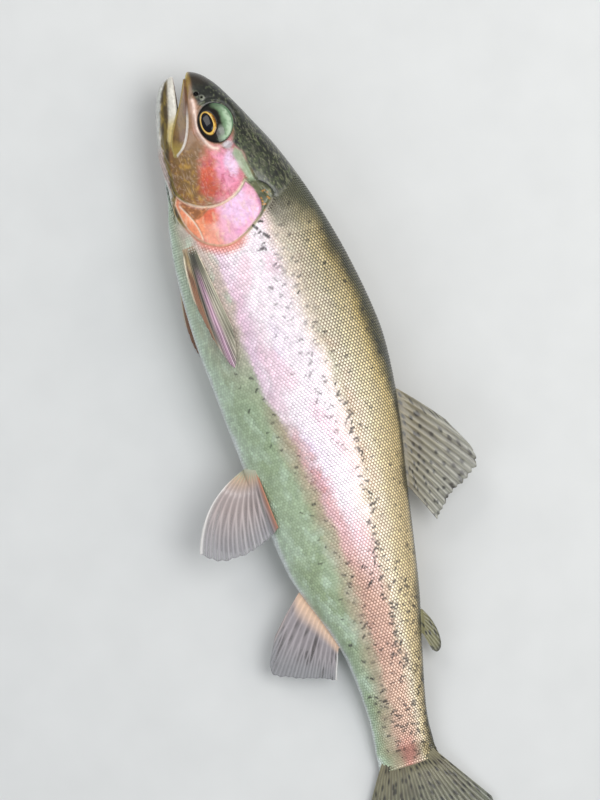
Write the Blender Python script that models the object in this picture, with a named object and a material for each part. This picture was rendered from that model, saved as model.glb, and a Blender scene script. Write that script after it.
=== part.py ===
"""Rainbow trout, life size, lying on its right flank as a landed fish lies.

The fish is drawn in its own side view first: `along` runs from the snout to the tail,
`up` from belly to back, and `out` sideways from the mid-plane of the body. The snout
points to -X, the back to +Y, and the left flank faces up (+Z). The right flank is
flattened where it rests, and the tail sinks towards the floor.

The body is one loft of named stations. It is parted with thin cuts into head, lower jaw,
trunk and tail; gill covers, maxillae, eyes and fins are pieces of their own.
"""
import math

import bmesh
import bpy
from mathutils import Vector

MM = 0.001
GAP = 0.3                      # clear space between neighbouring pieces
STANDARD_LENGTH = 456.0        # snout to the root of the tail fin
FIN_EDGE = 0.6                 # thickness of every fin at its free margin
BODY_SIDES = 28                # facets round the body

# Outline of the body: (distance from the snout, value), all in millimetres.
BACK = [(0, 2.5), (12, 13), (25, 20.5), (40, 28), (60, 37.5), (83, 46), (105, 52.5), (140, 60.5),
        (185, 66.5), (215, 65.5), (250, 60.5), (285, 53.5), (320, 47), (355, 40), (390, 31),
        (425, 22.5), (445, 20), (456, 20.5)]
BELLY = [(0, -17), (6, -21.5), (14, -26), (30, -31), (48, -34.5), (71, -36.5), (92, -42), (120, -46),
         (160, -47.5), (200, -45.5), (250, -42.5), (290, -39.5), (320, -36), (335, -32), (355, -25),
         (378, -18.5), (400, -16), (425, -15.5), (445, -17.5), (456, -18.5)]
HALF_WIDTH = [(0, 6), (8, 10.5), (20, 14.5), (37, 18.5), (55, 22.5), (80, 25), (105, 27), (125, 29),
              (160, 30.5), (200, 30.5), (240, 29), (280, 26.5), (320, 22.5), (360, 18), (400, 13),
              (430, 9.5), (456, 6.5)]
WIDEST_LEVEL = [(0, -6), (20, -6), (60, -7), (100, -3), (150, 3), (250, 6), (350, 5), (456, 1)]
SQUARENESS = [(0, 2.3), (60, 2.4), (110, 2.2), (200, 2.1), (456, 2.1)]
# Height of the mid-plane above the floor: level in the head and trunk, sinking in the tail. It is
# up to a millimetre less than the half width, and the flank is pressed flat by the difference.
MID_HEIGHT = [(0, 29), (60, 29), (110, 29.1), (160, 29.5), (200, 29.5), (240, 28.1), (280, 25.6),
              (320, 21.7), (360, 17.2), (400, 12.3), (430, 8.8), (456, 6), (490, 3), (525, 1.2)]
NOSE_ROUND = 7.0               # length over which the snout closes
NOSE_LEVEL = -6.0

# Cuts across the body, as (distance at level zero, lean of the cut towards the tail per mm down).
NAPE_CUT = (101.0, 0.33)
DORSAL_CUT = (222.0, 0.0)
ANAL_CUT = (329.0, 0.0)

# Mouth, open by about twenty degrees.
GAPE_TOP = [(-6, 0.5), (2, -2.2), (12, -7), (23, -12.6), (37, -18), (50, -22), (59, -26.5), (66, -44)]
GAPE_BOTTOM = [(-6, -9.5), (2, -10.6), (12, -12), (23, -13.6), (37, -18.5), (50, -22.5), (58.6, -26.8),
               (65.6, -44)]
MOUTH_CENTRE = (25.0, -13.0)
MOUTH_RADII = (21.0, 7.5, 9.5)

EYE = (38.0, 6.3)
EYE_RADII = (12.4, 10.4, 9.0)  # along, up and sideways
EYE_STANDS_OUT = 2.6           # how far the eyeball stands out of the head
NOSTRIL = (17.0, 2.5)
NOSTRIL_RADII = (1.5, 1.1, 2.0)
TONGUE_CENTRE = (30.0, -17.2)
TONGUE_RADII = (11.0, 2.2, 5.0)

# Plates laid on the side of the head, as points of the side view.
CHEEK_CENTRE = (62.0, -8.0)    # the cheek's rear edge is an arc about this point
CHEEK_RADIUS = 25.6
CHEEK_ARC = (55, -62)          # degrees, from its top to its lower end
COVER_EDGE = [(0, 93, 25), (0.2, 103, 14.5), (0.38, 110.5, 2.5), (0.54, 113.5, -10), (0.72, 107.5, -23),
              (0.86, 95.5, -30.5), (1, 79, -33.5)]     # (share of the edge, along, up)
COVER_THICK = 1.6              # at its free rear edge
COVER_FRONT_THICK = 0.7
MAXILLA_LINE = [(6.0, -4.5), (27.0, -11.0), (50.0, -23.0)]      # control points of its middle
MAXILLA_HALF_BREADTH = [(0, 1.2), (0.3, 2.6), (0.7, 5.0), (0.9, 4.2), (1, 1.6)]
MAXILLA_THICK = 1.4
PLATE_CLEAR = 0.4              # room between a plate and the head under it

# Fins on the mid-line: the two ends of the base, heading of the first and last ray in degrees,
# (share of the base, length of the ray), thickness at the root, number of rays and of cells on each.
DORSAL = ((229, 290), (44, 26), [(0, 34), (0.12, 54), (0.3, 52), (0.6, 38), (1, 25)], 1.8, 13, 5)
ADIPOSE = ((369, 381), (58, 24), [(0, 10), (0.4, 16), (1, 15)], 2.6, 6, 4)
ANAL = ((333, 374), (50, 22), [(0, 30), (0.12, 46), (0.35, 41), (0.7, 28), (1, 19)], 1.8, 12, 5)
CAUDAL_SPREAD = 33.0
CAUDAL_LENGTHS = [(0, 44), (0.1, 66), (0.3, 58), (0.5, 49), (0.7, 57), (0.9, 63), (1, 42)]
CAUDAL_ROOT = 2.4

# Fins beside the mid-line: side, root in the side view, heading of the first and last ray,
# (share of the fan, length), distance of the tips from the mid-plane, and how far the last ray
# arches forward as a share of its length.
PAIRED = {
    "pectoral_fin_left": (1, (109, -34), (4, -8), [(0, 77), (0.3, 75), (0.7, 60), (1, 40)], 29, 0.05),
    "pectoral_fin_right": (-1, (111, -36), (0, -15), [(0, 73), (0.3, 71), (0.7, 60), (1, 42)], 28, 0.05),
    "pelvic_fin_left": (1, (250, -38.5), (4, -45), [(0, 38), (0.4, 50), (0.75, 59), (1, 60)], 9, 0.13),
    "pelvic_fin_right": (-1, (250, -38.5), (0, -38), [(0, 36), (0.4, 48), (0.75, 55), (1, 54)], 24, 0.1),
}
PAIRED_ROOT = 1.5              # thickness at the root
PAIRED_BREADTH = 7.5           # of the root, across the rays
PAIRED_ROOM = 1.4              # between the root's middle and the flank

COLOURS = {
    "back": (0.20, 0.19, 0.10), "flank": (0.72, 0.62, 0.62), "cheek": (0.60, 0.30, 0.26),
    "gill_cover": (0.78, 0.34, 0.32), "jaw": (0.45, 0.33, 0.15), "belly": (0.62, 0.68, 0.62),
    "eye": (0.05, 0.04, 0.02), "fin": (0.55, 0.47, 0.42), "tail_fin": (0.40, 0.40, 0.34),
}


# ---------------------------------------------------------------- helpers

def reading(stations, at):
    """Smooth value between named stations (cubic, with the slope of the neighbours)."""
    if at <= stations[0][0]:
        return stations[0][1]
    if at >= stations[-1][0]:
        return stations[-1][1]
    last = len(stations) - 1
    i = max(k for k in range(last) if stations[k][0] <= at)
    (x0, y0), (x1, y1) = stations[i], stations[i + 1]
    before, after = stations[max(i - 1, 0)], stations[min(i + 2, last)]
    slope0 = (y1 - before[1]) / (x1 - before[0])
    slope1 = (after[1] - y0) / (after[0] - x0)
    span = x1 - x0
    t = (at - x0) / span
    return ((2 * t**3 - 3 * t**2 + 1) * y0 + (t**3 - 2 * t**2 + t) * span * slope0
            + (3 * t**2 - 2 * t**3) * y1 + (t**3 - t**2) * span * slope1)


def mix(a, b, t):
    return a + (b - a) * t


def place(along, up, out):
    """A point of the fish's side view in the world, in metres. `out` is + on the left flank."""
    height = max(reading(MID_HEIGHT, along) + out, 0.0)
    return Vector((along - STANDARD_LENGTH / 2, up, height)) * MM


def section(along):
    """(back, belly, half width, widest level, squareness) of the body at a distance from the snout."""
    closing = 1.0
    if along < NOSE_ROUND:
        closing = math.sqrt(max(1 - (1 - along / NOSE_ROUND) ** 2, 0.0))
    back = NOSE_LEVEL + (reading(BACK, along) - NOSE_LEVEL) * closing
    belly = NOSE_LEVEL + (reading(BELLY, along) - NOSE_LEVEL) * closing
    return (back, belly, reading(HALF_WIDTH, along) * closing, reading(WIDEST_LEVEL, along),
            reading(SQUARENESS, along))


def flank(along, up):
    """How far the body's side stands out from its mid-plane at a point of the side view."""
    back, belly, width, level, power = section(along)
    reach = (back - level) if up > level else (level - belly)
    share = min(abs(up - level) / max(reach, 1e-6), 1.0)
    return width * (1 - share**power) ** (1 / power)


def beside(along, up, room):
    """Distance from the mid-plane that keeps `room` clear of the flank, measured square to it."""
    here = flank(along, up)
    slope = flank(along, up + 0.5) - flank(along, up - 0.5)
    return here + room * min(math.hypot(1, slope), 2.5)


def node(name, mesh, colour):
    """A named object with its own material."""
    obj = bpy.data.objects.new(name, mesh)
    PARTS.objects.link(obj)
    material = bpy.data.materials.new(name + "_skin")
    material.use_nodes = True
    shader = material.node_tree.nodes["Principled BSDF"]
    shader.inputs["Base Color"].default_value = (*COLOURS[colour], 1)
    shader.inputs["Roughness"].default_value = 0.35
    shader.inputs["Metallic"].default_value = 0.1
    mesh.materials.append(material)
    mesh.shade_smooth()
    mesh.set_sharp_from_angle(angle=math.radians(40))
    return obj


def cutter(name, mesh):
    obj = bpy.data.objects.new(name, mesh)
    CUTTERS.objects.link(obj)
    obj.hide_render = True
    obj.display_type = "WIRE"
    return obj


def boolean(obj, tool, operation):
    step = obj.modifiers.new(tool.name, "BOOLEAN")
    step.operation = operation
    step.object = tool
    step.solver = "EXACT"


def mesh_of(bm, name):
    bmesh.ops.recalc_face_normals(bm, faces=bm.faces)
    mesh = bpy.data.meshes.new(name)
    bm.to_mesh(mesh)
    bm.free()
    return mesh


def closed_rings(bm, rings, round_ring=True):
    """Joins rings of vertices into a tube and closes both ends."""
    count = len(rings[0])
    for a, b in zip(rings, rings[1:]):
        for i in range(count if round_ring else count - 1):
            j = (i + 1) % count
            bm.faces.new((a[i], a[j], b[j], b[i]))
    bm.faces.new(rings[0])
    bm.faces.new(rings[-1][::-1])


def thick_sheet(name, outer, inner):
    """A closed plate between two grids of points of the same size."""
    bm = bmesh.new()
    top = [[bm.verts.new(p) for p in row] for row in outer]
    under = [[bm.verts.new(p) for p in row] for row in inner]
    rows, columns = len(top), len(top[0])
    for r in range(rows - 1):
        for c in range(columns - 1):
            bm.faces.new((top[r][c], top[r][c + 1], top[r + 1][c + 1], top[r + 1][c]))
            bm.faces.new((under[r][c], under[r + 1][c], under[r + 1][c + 1], under[r][c + 1]))
    rim = [(0, c) for c in range(columns)] + [(r, columns - 1) for r in range(1, rows)]
    rim += [(rows - 1, c) for c in range(columns - 2, -1, -1)] + [(r, 0) for r in range(rows - 2, 0, -1)]
    for (r0, c0), (r1, c1) in zip(rim, rim[1:] + rim[:1]):
        bm.faces.new((top[r0][c0], under[r0][c0], under[r1][c1], top[r1][c1]))
    return mesh_of(bm, name)


# ---------------------------------------------------------------- the body

def body_mesh(first, last, steps):
    """The whole body between two distances, as one closed loft."""
    bm = bmesh.new()
    rings = []
    for i in range(steps + 1):
        along = mix(first, last, i / steps)
        back, belly, width, level, power = section(along)
        ring = []
        for k in range(BODY_SIDES):
            turn = 2 * math.pi * k / BODY_SIDES
            c, s = math.cos(turn), math.sin(turn)
            reach = (back - level) if c > 0 else (level - belly)
            up = level + reach * math.copysign(abs(c) ** (2 / power), c)
            out = width * math.copysign(abs(s) ** (2 / power), s)
            ring.append(bm.verts.new(place(along, up, out)))
        rings.append(ring)
    closed_rings(bm, rings)
    return bm


def cut_across(bm, cut, keep_tail, clear):
    """Cuts the loft with a leaning plane and closes it. `clear` moves the plane off the cut."""
    at, lean = cut
    normal = Vector((1, lean, 0)).normalized()
    point = Vector(((at + clear - STANDARD_LENGTH / 2) * MM, 0, 0))
    found = bmesh.ops.bisect_plane(
        bm, geom=bm.verts[:] + bm.edges[:] + bm.faces[:], dist=1e-6, plane_co=point,
        plane_no=normal, clear_inner=keep_tail, clear_outer=not keep_tail)
    edges = [e for e in found["geom_cut"] if isinstance(e, bmesh.types.BMEdge)]
    bmesh.ops.contextual_create(bm, geom=edges)


def side_prism(name, outline, half_depth=60.0):
    """A cutter with a side-view outline, deep enough to go through the whole body."""
    bm = bmesh.new()
    lift = reading(MID_HEIGHT, 0)
    rings = [[bm.verts.new(Vector((a - STANDARD_LENGTH / 2, u, lift + z)) * MM) for a, u in outline]
             for z in (-half_depth, half_depth)]
    closed_rings(bm, rings)
    return cutter(name, mesh_of(bm, name))


def ball(name, centre, radii, segments=24, rings=14):
    """A closed ellipsoid, centre in the side view with its own `out`."""
    bm = bmesh.new()
    bmesh.ops.create_uvsphere(bm, u_segments=segments, v_segments=rings, radius=1.0)
    middle = place(*centre)
    for v in bm.verts:
        v.co = middle + Vector((v.co.x * radii[0], v.co.y * radii[1], v.co.z * radii[2])) * MM
    return mesh_of(bm, name)


def head_and_jaw():
    """Cranium with cheeks, and the dropped lower jaw, parted from one loft."""
    below = GAPE_TOP + [(66, -70), (-12, -70), (-12, 0.5)]
    above = GAPE_BOTTOM + [(140, -44), (140, 80), (-12, 80), (-12, -9.5)]
    mouth = cutter("mouth_room", ball("mouth_room", (*MOUTH_CENTRE, 0), MOUTH_RADII))

    bm = body_mesh(0.02, 130, 27)
    cut_across(bm, NAPE_CUT, keep_tail=False, clear=-GAP / 2)
    head = node("head", mesh_of(bm, "head"), "cheek")
    boolean(head, side_prism("below_gape", below), "DIFFERENCE")
    boolean(head, mouth, "DIFFERENCE")

    bm = body_mesh(0.02, 80, 17)
    jaw = node("lower_jaw", mesh_of(bm, "lower_jaw"), "jaw")
    boolean(jaw, side_prism("above_gape", above), "DIFFERENCE")
    boolean(jaw, mouth, "DIFFERENCE")
    return head, jaw


def tongue():
    """Low tongue on the floor of the mouth."""
    mesh = ball("tongue", (*TONGUE_CENTRE, 0), TONGUE_RADII, 14, 8)
    return node("tongue", mesh, "belly")


def eyes(head):
    for side, name in ((1, "eye_left"), (-1, "eye_right")):
        out = flank(*EYE) + EYE_STANDS_OUT - EYE_RADII[2]
        socket = tuple(r + GAP for r in EYE_RADII)
        centre = (*EYE, side * out)
        node(name, ball(name, centre, EYE_RADII, 20, 11), "eye")
        hollow = ball(name + "_socket", centre, socket, 20, 11)
        boolean(head, cutter(name + "_socket", hollow), "DIFFERENCE")
        pit = (*NOSTRIL, side * flank(*NOSTRIL))
        hole = ball(name + "_nostril", pit, NOSTRIL_RADII, 10, 6)
        boolean(head, cutter(name + "_nostril", hole), "DIFFERENCE")


def trunk_and_tail():
    pieces = (("trunk_front", NAPE_CUT, DORSAL_CUT, 12, "flank"),
              ("trunk_rear", DORSAL_CUT, ANAL_CUT, 9, "flank"),
              ("tail", ANAL_CUT, None, 12, "back"))
    for name, front, rear, steps, colour in pieces:
        first = front[0] - 25 * (front[1] > 0) - 5
        last = rear[0] + 5 if rear else STANDARD_LENGTH
        bm = body_mesh(first, last, steps)
        cut_across(bm, front, keep_tail=True, clear=GAP / 2)
        if rear:
            cut_across(bm, rear, keep_tail=False, clear=-GAP / 2)
        node(name, mesh_of(bm, name), colour)


# ---------------------------------------------------------------- plates of the head

def laid_plate(name, grid, side, front_thick, rear_thick, colour):
    """A plate that follows the flank: `grid` holds rows of side-view points, front to rear."""
    outer, inner = [], []
    for row in grid:
        last = len(row) - 1
        outer.append([place(a, u, side * beside(a, u, PLATE_CLEAR + mix(front_thick, rear_thick, c / last)))
                      for c, (a, u) in enumerate(row)])
        inner.append([place(a, u, side * beside(a, u, PLATE_CLEAR)) for a, u in row])
    return node(name, thick_sheet(name, outer, inner), colour)


def gill_cover_grid(rows=12, columns=8):
    """Crescent between the cheek's rear edge and the free rear edge of the gill cover."""
    edge_along = [(share, along) for share, along, up in COVER_EDGE]
    edge_up = [(share, up) for share, along, up in COVER_EDGE]
    grid = []
    for r in range(rows):
        share = r / (rows - 1)
        turn = math.radians(mix(*CHEEK_ARC, share))
        front = (CHEEK_CENTRE[0] + CHEEK_RADIUS * math.cos(turn),
                 CHEEK_CENTRE[1] + CHEEK_RADIUS * math.sin(turn))
        rear = (reading(edge_along, share), reading(edge_up, share))
        grid.append([(mix(front[0], rear[0], c / (columns - 1)), mix(front[1], rear[1], c / (columns - 1)))
                     for c in range(columns)])
    return grid


def maxilla_grid(rows=5, columns=11):
    """Long blade of the upper lip, from the snout to behind the eye, broadest near its end."""
    start, bend, end = MAXILLA_LINE
    grid = [[] for _ in range(rows)]
    for c in range(columns):
        t = c / (columns - 1)
        a = (1 - t) ** 2 * start[0] + 2 * t * (1 - t) * bend[0] + t * t * end[0]
        u = (1 - t) ** 2 * start[1] + 2 * t * (1 - t) * bend[1] + t * t * end[1]
        run = (2 * (1 - t) * (bend[0] - start[0]) + 2 * t * (end[0] - bend[0]),
               2 * (1 - t) * (bend[1] - start[1]) + 2 * t * (end[1] - bend[1]))
        size = math.hypot(*run)
        for r in range(rows):
            off = mix(1, -1, r / (rows - 1)) * reading(MAXILLA_HALF_BREADTH, t)
            grid[r].append((a - off * run[1] / size, u + off * run[0] / size))
    return grid


def plates():
    for side, word in ((1, "left"), (-1, "right")):
        laid_plate("gill_cover_" + word, gill_cover_grid(), side, COVER_FRONT_THICK, COVER_THICK,
                   "gill_cover")
        laid_plate("maxilla_" + word, maxilla_grid(), side, MAXILLA_THICK, MAXILLA_THICK, "jaw")


# ---------------------------------------------------------------- fins

def median_fin(name, shape, colour, side_up=1):
    """A fin on the mid-line of the back (`side_up` 1) or of the belly (-1)."""
    base, headings, lengths, root, rays, cells = shape
    line = BACK if side_up > 0 else BELLY
    left, right = [], []
    for r in range(rays):
        share = r / (rays - 1)
        a0 = mix(*base, share)
        u0 = reading(line, a0) + side_up * GAP
        turn = math.radians(mix(*headings, share))
        length = reading(lengths, share)
        steps = [(length * c / cells, mix(root, FIN_EDGE, c / cells) / 2) for c in range(cells + 1)]
        points = [(a0 + reach * math.cos(turn), u0 + side_up * reach * math.sin(turn), half)
                  for reach, half in steps]
        left.append([place(a, u, half) for a, u, half in points])
        right.append([place(a, u, -half) for a, u, half in points])
    return node(name, thick_sheet(name, left, right), colour)


def tail_fin(rays=21, cells=5):
    """Caudal fin, slightly forked, spread like a fan from the root of the tail."""
    back, belly = section(STANDARD_LENGTH)[:2]
    left, right = [], []
    for r in range(rays):
        share = r / (rays - 1)
        turn = math.radians(mix(CAUDAL_SPREAD, -CAUDAL_SPREAD, share))
        u0 = mix(back - GAP, belly + GAP, share)
        length = reading(CAUDAL_LENGTHS, share)
        steps = [(length * c / cells, mix(CAUDAL_ROOT, FIN_EDGE, c / cells) / 2) for c in range(cells + 1)]
        points = [(STANDARD_LENGTH + GAP + reach * math.cos(turn), u0 + reach * math.sin(turn), half)
                  for reach, half in steps]
        left.append([place(a, u, half) for a, u, half in points])
        right.append([place(a, u, -half) for a, u, half in points])
    return node("caudal_fin", thick_sheet("caudal_fin", left, right), "tail_fin")


def paired_fin(name, side, root, headings, lengths, tip_out, arch, rays=9, cells=7):
    """A fin beside the mid-line. Wherever it passes the body it stays clear of it, and it never
    goes below the floor."""
    high, low = [], []
    root_out = flank(*root) + PAIRED_ROOM
    heading = math.radians(sum(headings) / 2)
    for r in range(rays):
        share = r / (rays - 1)
        turn = math.radians(mix(*headings, share))
        off = PAIRED_BREADTH * (0.5 - share)
        a0, u0 = root[0] - off * math.sin(heading), root[1] + off * math.cos(heading)
        length = reading(lengths, share)
        above, below = [], []
        for c in range(cells + 1):
            t = c / cells
            bulge = arch * share * 4 * t * (1 - t) * length
            a = a0 + length * t * math.cos(turn) + bulge * math.sin(turn)
            u = u0 + length * t * math.sin(turn) - bulge * math.cos(turn)
            half = mix(PAIRED_ROOT, FIN_EDGE, t) / 2
            out = max(mix(root_out, tip_out, t), beside(a, u, GAP + half))
            if side < 0:
                out = min(out, reading(MID_HEIGHT, a) - half)
            above.append(place(a, u, side * out + half))
            below.append(place(a, u, side * out - half))
        high.append(above)
        low.append(below)
    return node(name, thick_sheet(name, high, low), "fin")


def fins():
    median_fin("dorsal_fin", DORSAL, "fin")
    median_fin("adipose_fin", ADIPOSE, "back")
    median_fin("anal_fin", ANAL, "fin", side_up=-1)
    tail_fin()
    for name, shape in PAIRED.items():
        paired_fin(name, *shape)


def centre_on_footprint():
    """Moves the fish so that the origin is under the middle of its bounding box, on the floor."""
    corners = [obj.matrix_world @ v.co for obj in PARTS.objects for v in obj.data.vertices]
    middle = [(min(p[k] for p in corners) + max(p[k] for p in corners)) / 2 for k in (0, 1)]
    shift = Vector((-middle[0], -middle[1], -min(p.z for p in corners)))
    for obj in list(PARTS.objects) + list(CUTTERS.objects):
        obj.data.transform(obj.matrix_world)
        for v in obj.data.vertices:
            v.co += shift
    print("moved by (mm)", [round(s / MM, 3) for s in shift])


def new_collection(name):
    collection = bpy.data.collections.new(name)
    bpy.context.scene.collection.children.link(collection)
    return collection


for old in list(bpy.data.objects):
    bpy.data.objects.remove(old)
PARTS = new_collection("rainbow_trout")
CUTTERS = new_collection("cutters")

skull, jaw = head_and_jaw()
tongue()
eyes(skull)
trunk_and_tail()
plates()
fins()
centre_on_footprint()
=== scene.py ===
"""Looks of the rainbow trout: one detailed skin, a coat of solid scales, rayed fins and glossy eyes.

Shapes are worked out in the fish's own side view, in millimetres: `along` runs from the snout to
the tail, `up` from belly to back, and `out` sideways from the mid-plane, + on the left flank.
"""

import itertools
import math

import bpy
import numpy as np
from mathutils import Matrix, Vector


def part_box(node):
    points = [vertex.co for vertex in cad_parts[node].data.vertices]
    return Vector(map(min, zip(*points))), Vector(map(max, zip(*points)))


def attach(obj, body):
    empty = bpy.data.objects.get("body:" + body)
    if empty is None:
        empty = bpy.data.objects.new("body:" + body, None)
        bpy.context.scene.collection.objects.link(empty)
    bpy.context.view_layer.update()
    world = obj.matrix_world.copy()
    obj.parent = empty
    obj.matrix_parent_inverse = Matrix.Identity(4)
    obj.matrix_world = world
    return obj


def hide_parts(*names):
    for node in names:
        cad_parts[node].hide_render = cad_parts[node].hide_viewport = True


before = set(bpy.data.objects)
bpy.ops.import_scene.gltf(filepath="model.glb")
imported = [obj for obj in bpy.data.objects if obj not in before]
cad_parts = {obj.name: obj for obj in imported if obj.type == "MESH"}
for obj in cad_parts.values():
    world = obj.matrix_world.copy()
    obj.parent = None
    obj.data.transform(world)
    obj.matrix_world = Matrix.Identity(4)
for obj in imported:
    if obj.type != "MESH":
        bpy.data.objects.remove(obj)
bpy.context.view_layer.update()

MM = 0.001
STANDARD_LENGTH = 456.0
TAIL_END = 459.0               # the skin reaches this far over the root of the tail fin
COAT_DEPTH = 0.45              # how far the skin lies inside the solids under the scales
SKIN_TRIANGLES = 190000
NET_STEP = 0.5                 # of the grid that the head's skin is worked out on
HEAD_END = 118.0               # the head's net meets the trunk's rings here
NET_FRONT = -3
NET_UP = (-52, 62)
NET_OUT = 34
RING_POINTS = 144
RING_STEP = 3.0                # between rings of the trunk's skin, after a first gap behind the head
FIRST_GAP = 1.2
LAST_RINGS = (452, 455, 457.5, TAIL_END)
SCALE_PITCH = 2.1              # between rows of scales
SCALE_STEP = 1.8               # between columns; every other column is half a pitch lower
# (back from the root, half breadth, height over the skin, share of the rim's colour) of a scale,
# from its root to its free edge
SCALE_PROFILE = [(-1.9, 0.70, -0.34, 1.0), (-0.8, 1.06, -0.04, 0.5), (0.2, 1.08, 0.22, 0.0),
                 (0.85, 0.84, 0.31, 0.2), (1.35, 0.48, 0.29, 0.95), (1.45, 0.40, -0.12, 1.0)]
SCALE_COLUMNS = 5              # points across a scale
FIRST_SCALES = 62.0            # the foremost column of scales
MOST_ROWS = 110                # more rows than fit on a flank
PORED_FROM = 105               # the lateral line's pored scales start here
COAT_LENGTHS = ((0, 210), (210, 320), (320, 470))
MAP_REACH = 0.0015             # half breadth of one scale in the map OFBake
FLANKS = ((1, "left"), (-1, "right"))
MARK_ROOM = 3.5                # no black mark reaches farther from its middle

# Body stations, the same as the solids': (distance from the snout, value).
BACK = [(0, 2.5), (12, 13), (25, 20.5), (40, 28), (60, 37.5), (83, 46), (105, 52.5), (140, 60.5),
        (185, 66.5), (215, 65.5), (250, 60.5), (285, 53.5), (320, 47), (355, 40), (390, 31),
        (425, 22.5), (445, 20), (456, 20.5)]
BELLY = [(0, -17), (6, -21.5), (14, -26), (30, -31), (48, -34.5), (71, -36.5), (92, -42), (120, -46),
         (160, -47.5), (200, -45.5), (250, -42.5), (290, -39.5), (320, -36), (335, -32), (355, -25),
         (378, -18.5), (400, -16), (425, -15.5), (445, -17.5), (456, -18.5)]
HALF_WIDTH = [(0, 6), (8, 10.5), (20, 14.5), (37, 18.5), (55, 22.5), (80, 25), (105, 27), (125, 29),
              (160, 30.5), (200, 30.5), (240, 29), (280, 26.5), (320, 22.5), (360, 18), (400, 13),
              (430, 9.5), (456, 6.5)]
WIDEST_LEVEL = [(0, -6), (20, -6), (60, -7), (100, -3), (150, 3), (250, 6), (350, 5), (456, 1)]
SQUARENESS = [(0, 2.3), (60, 2.4), (110, 2.2), (200, 2.1), (456, 2.1)]
MID_HEIGHT = [(0, 29), (60, 29), (110, 29.1), (160, 29.5), (200, 29.5), (240, 28.1), (280, 25.6),
              (320, 21.7), (360, 17.2), (400, 12.3), (430, 8.8), (456, 6), (490, 3), (525, 1.2)]
NOSE_ROUND = 7.0
NOSE_BLUNT = 2.7
PRESS = 1.2                    # the resting flank is pressed flat below this height

# Head, in the side view.
EYE = (38.0, 6.3)
EYE_RADII = (12.4, 10.4)
CHEEK_CENTRE = (62.0, -8.0)
CHEEK_RADIUS = 25.6
GAPE_TOP = [(-6, 0.5), (2, -2.2), (12, -7), (23, -12.6), (31, -16.2)]
GAPE_BOTTOM = [(-6, -9.5), (2, -10.6), (12, -12), (23, -13.8), (31, -16.4)]
MOUTH_CENTRE = (24.0, -12.5)
MOUTH_RADII = (19.0, 7.0, 9.0)
COVER_EDGE = [(93, 25), (103, 14.5), (110.5, 2.5), (113.5, -10), (107.5, -23), (95.5, -30.5),
              (79, -33.5)]
MAXILLA_LINE = [(6.0, -4.2), (27.0, -10.6), (50.0, -23.0)]
MAXILLA_HALF_BREADTH = [(0, 0.8), (0.3, 2.3), (0.7, 4.6), (0.9, 3.9), (1, 1.4)]
# The scaleless skin of the head ends here above the gill cover and below it.
NAPE_EDGE = [(-30, 95), (78, 95), (79, 54), (83, 46), (89, 36)]
THROAT_EDGE = [(84, -36), (78, -42), (76, -62), (-30, -62)]


# ---------------------------------------------------------------- numbers and curves

def reading(stations, at):
    """Smooth values between named stations, for an array of places."""
    xs, ys = np.array(stations, float).T
    at = np.clip(np.asarray(at, float), xs[0], xs[-1])
    last = len(xs) - 1
    i = np.clip(np.searchsorted(xs, at, side="right") - 1, 0, last - 1)
    before, after = np.maximum(i - 1, 0), np.minimum(i + 2, last)
    slope0 = (ys[i + 1] - ys[before]) / (xs[i + 1] - xs[before])
    slope1 = (ys[after] - ys[i]) / (xs[after] - xs[i])
    span = xs[i + 1] - xs[i]
    t = (at - xs[i]) / span
    return ((2 * t**3 - 3 * t**2 + 1) * ys[i] + (t**3 - 2 * t**2 + t) * span * slope0
            + (3 * t**2 - 2 * t**3) * ys[i + 1] + (t**3 - t**2) * span * slope1)


def mix(a, b, t):
    """`a` where t is 0, `b` where it is 1."""
    return a + (b - a) * t


def ease(low, high, x):
    """0 below `low`, 1 above `high`, smooth between. Works either way round."""
    t = np.clip((x - low) / (high - low), 0, 1)
    return t * t * (3 - 2 * t)


def bump(x, width):
    """1 at 0, falling off smoothly on both sides."""
    return np.exp(-(x / width) ** 2)


def unit(vectors):
    """Vectors brought to a length of 1."""
    return vectors / np.linalg.norm(vectors, axis=-1)[..., None]


def smooth_max(a, b, k):
    """The larger of two values, blended where they are nearer than `k`."""
    h = np.maximum(k - np.abs(a - b), 0) / k
    return np.maximum(a, b) + h * h * k / 4


def smooth_min(a, b, k):
    """The smaller of two values, blended likewise."""
    return -smooth_max(-a, -b, k)


def polyline(points, steps=8):
    """A smooth line through points: cubic between them."""
    pts = np.array(points, float)
    share = np.arange(len(pts))
    fine = np.linspace(0, len(pts) - 1, steps * (len(pts) - 1) + 1)
    return np.stack([reading(list(zip(share, pts[:, k])), fine) for k in (0, 1)], 1)


def line_distance(a, u, line):
    """(distance to a polyline, share of the way along it) for arrays of side-view places."""
    line = np.asarray(line, float)
    best = np.full(np.shape(a), 1e9)
    where = np.zeros(np.shape(a))
    for k, (p, q) in enumerate(zip(line[:-1], line[1:])):
        run = q - p
        t = np.clip(((a - p[0]) * run[0] + (u - p[1]) * run[1]) / max(run @ run, 1e-9), 0, 1)
        d = np.hypot(a - p[0] - t * run[0], u - p[1] - t * run[1])
        nearer = d < best
        best = np.where(nearer, d, best)
        where = np.where(nearer, (k + t) / (len(line) - 1), where)
    return best, where


def region(a, u, outline):
    """Signed distance to a closed outline of the side view, negative inside."""
    outline = np.asarray(outline, float)
    closed = np.vstack([outline, outline[:1]])
    distance = line_distance(a, u, closed)[0]
    inside = np.zeros(np.shape(a), bool)
    for p, q in zip(closed[:-1], closed[1:]):
        crosses = (p[1] > u) != (q[1] > u)
        if p[1] != q[1]:
            inside ^= crosses & (a < p[0] + (u - p[1]) * (q[0] - p[0]) / (q[1] - p[1]))
    return np.where(inside, -distance, distance)


def over(a, u, line):
    """How far above a line of the side view places lie."""
    return u - np.interp(a, *np.array(line).T)


def oval(a, u, centre, radii):
    """Distance from a centre of the side view, 1 on the edge of an oval with those two radii."""
    return np.hypot((a - centre[0]) / radii[0], (u - centre[1]) / radii[1])


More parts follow.
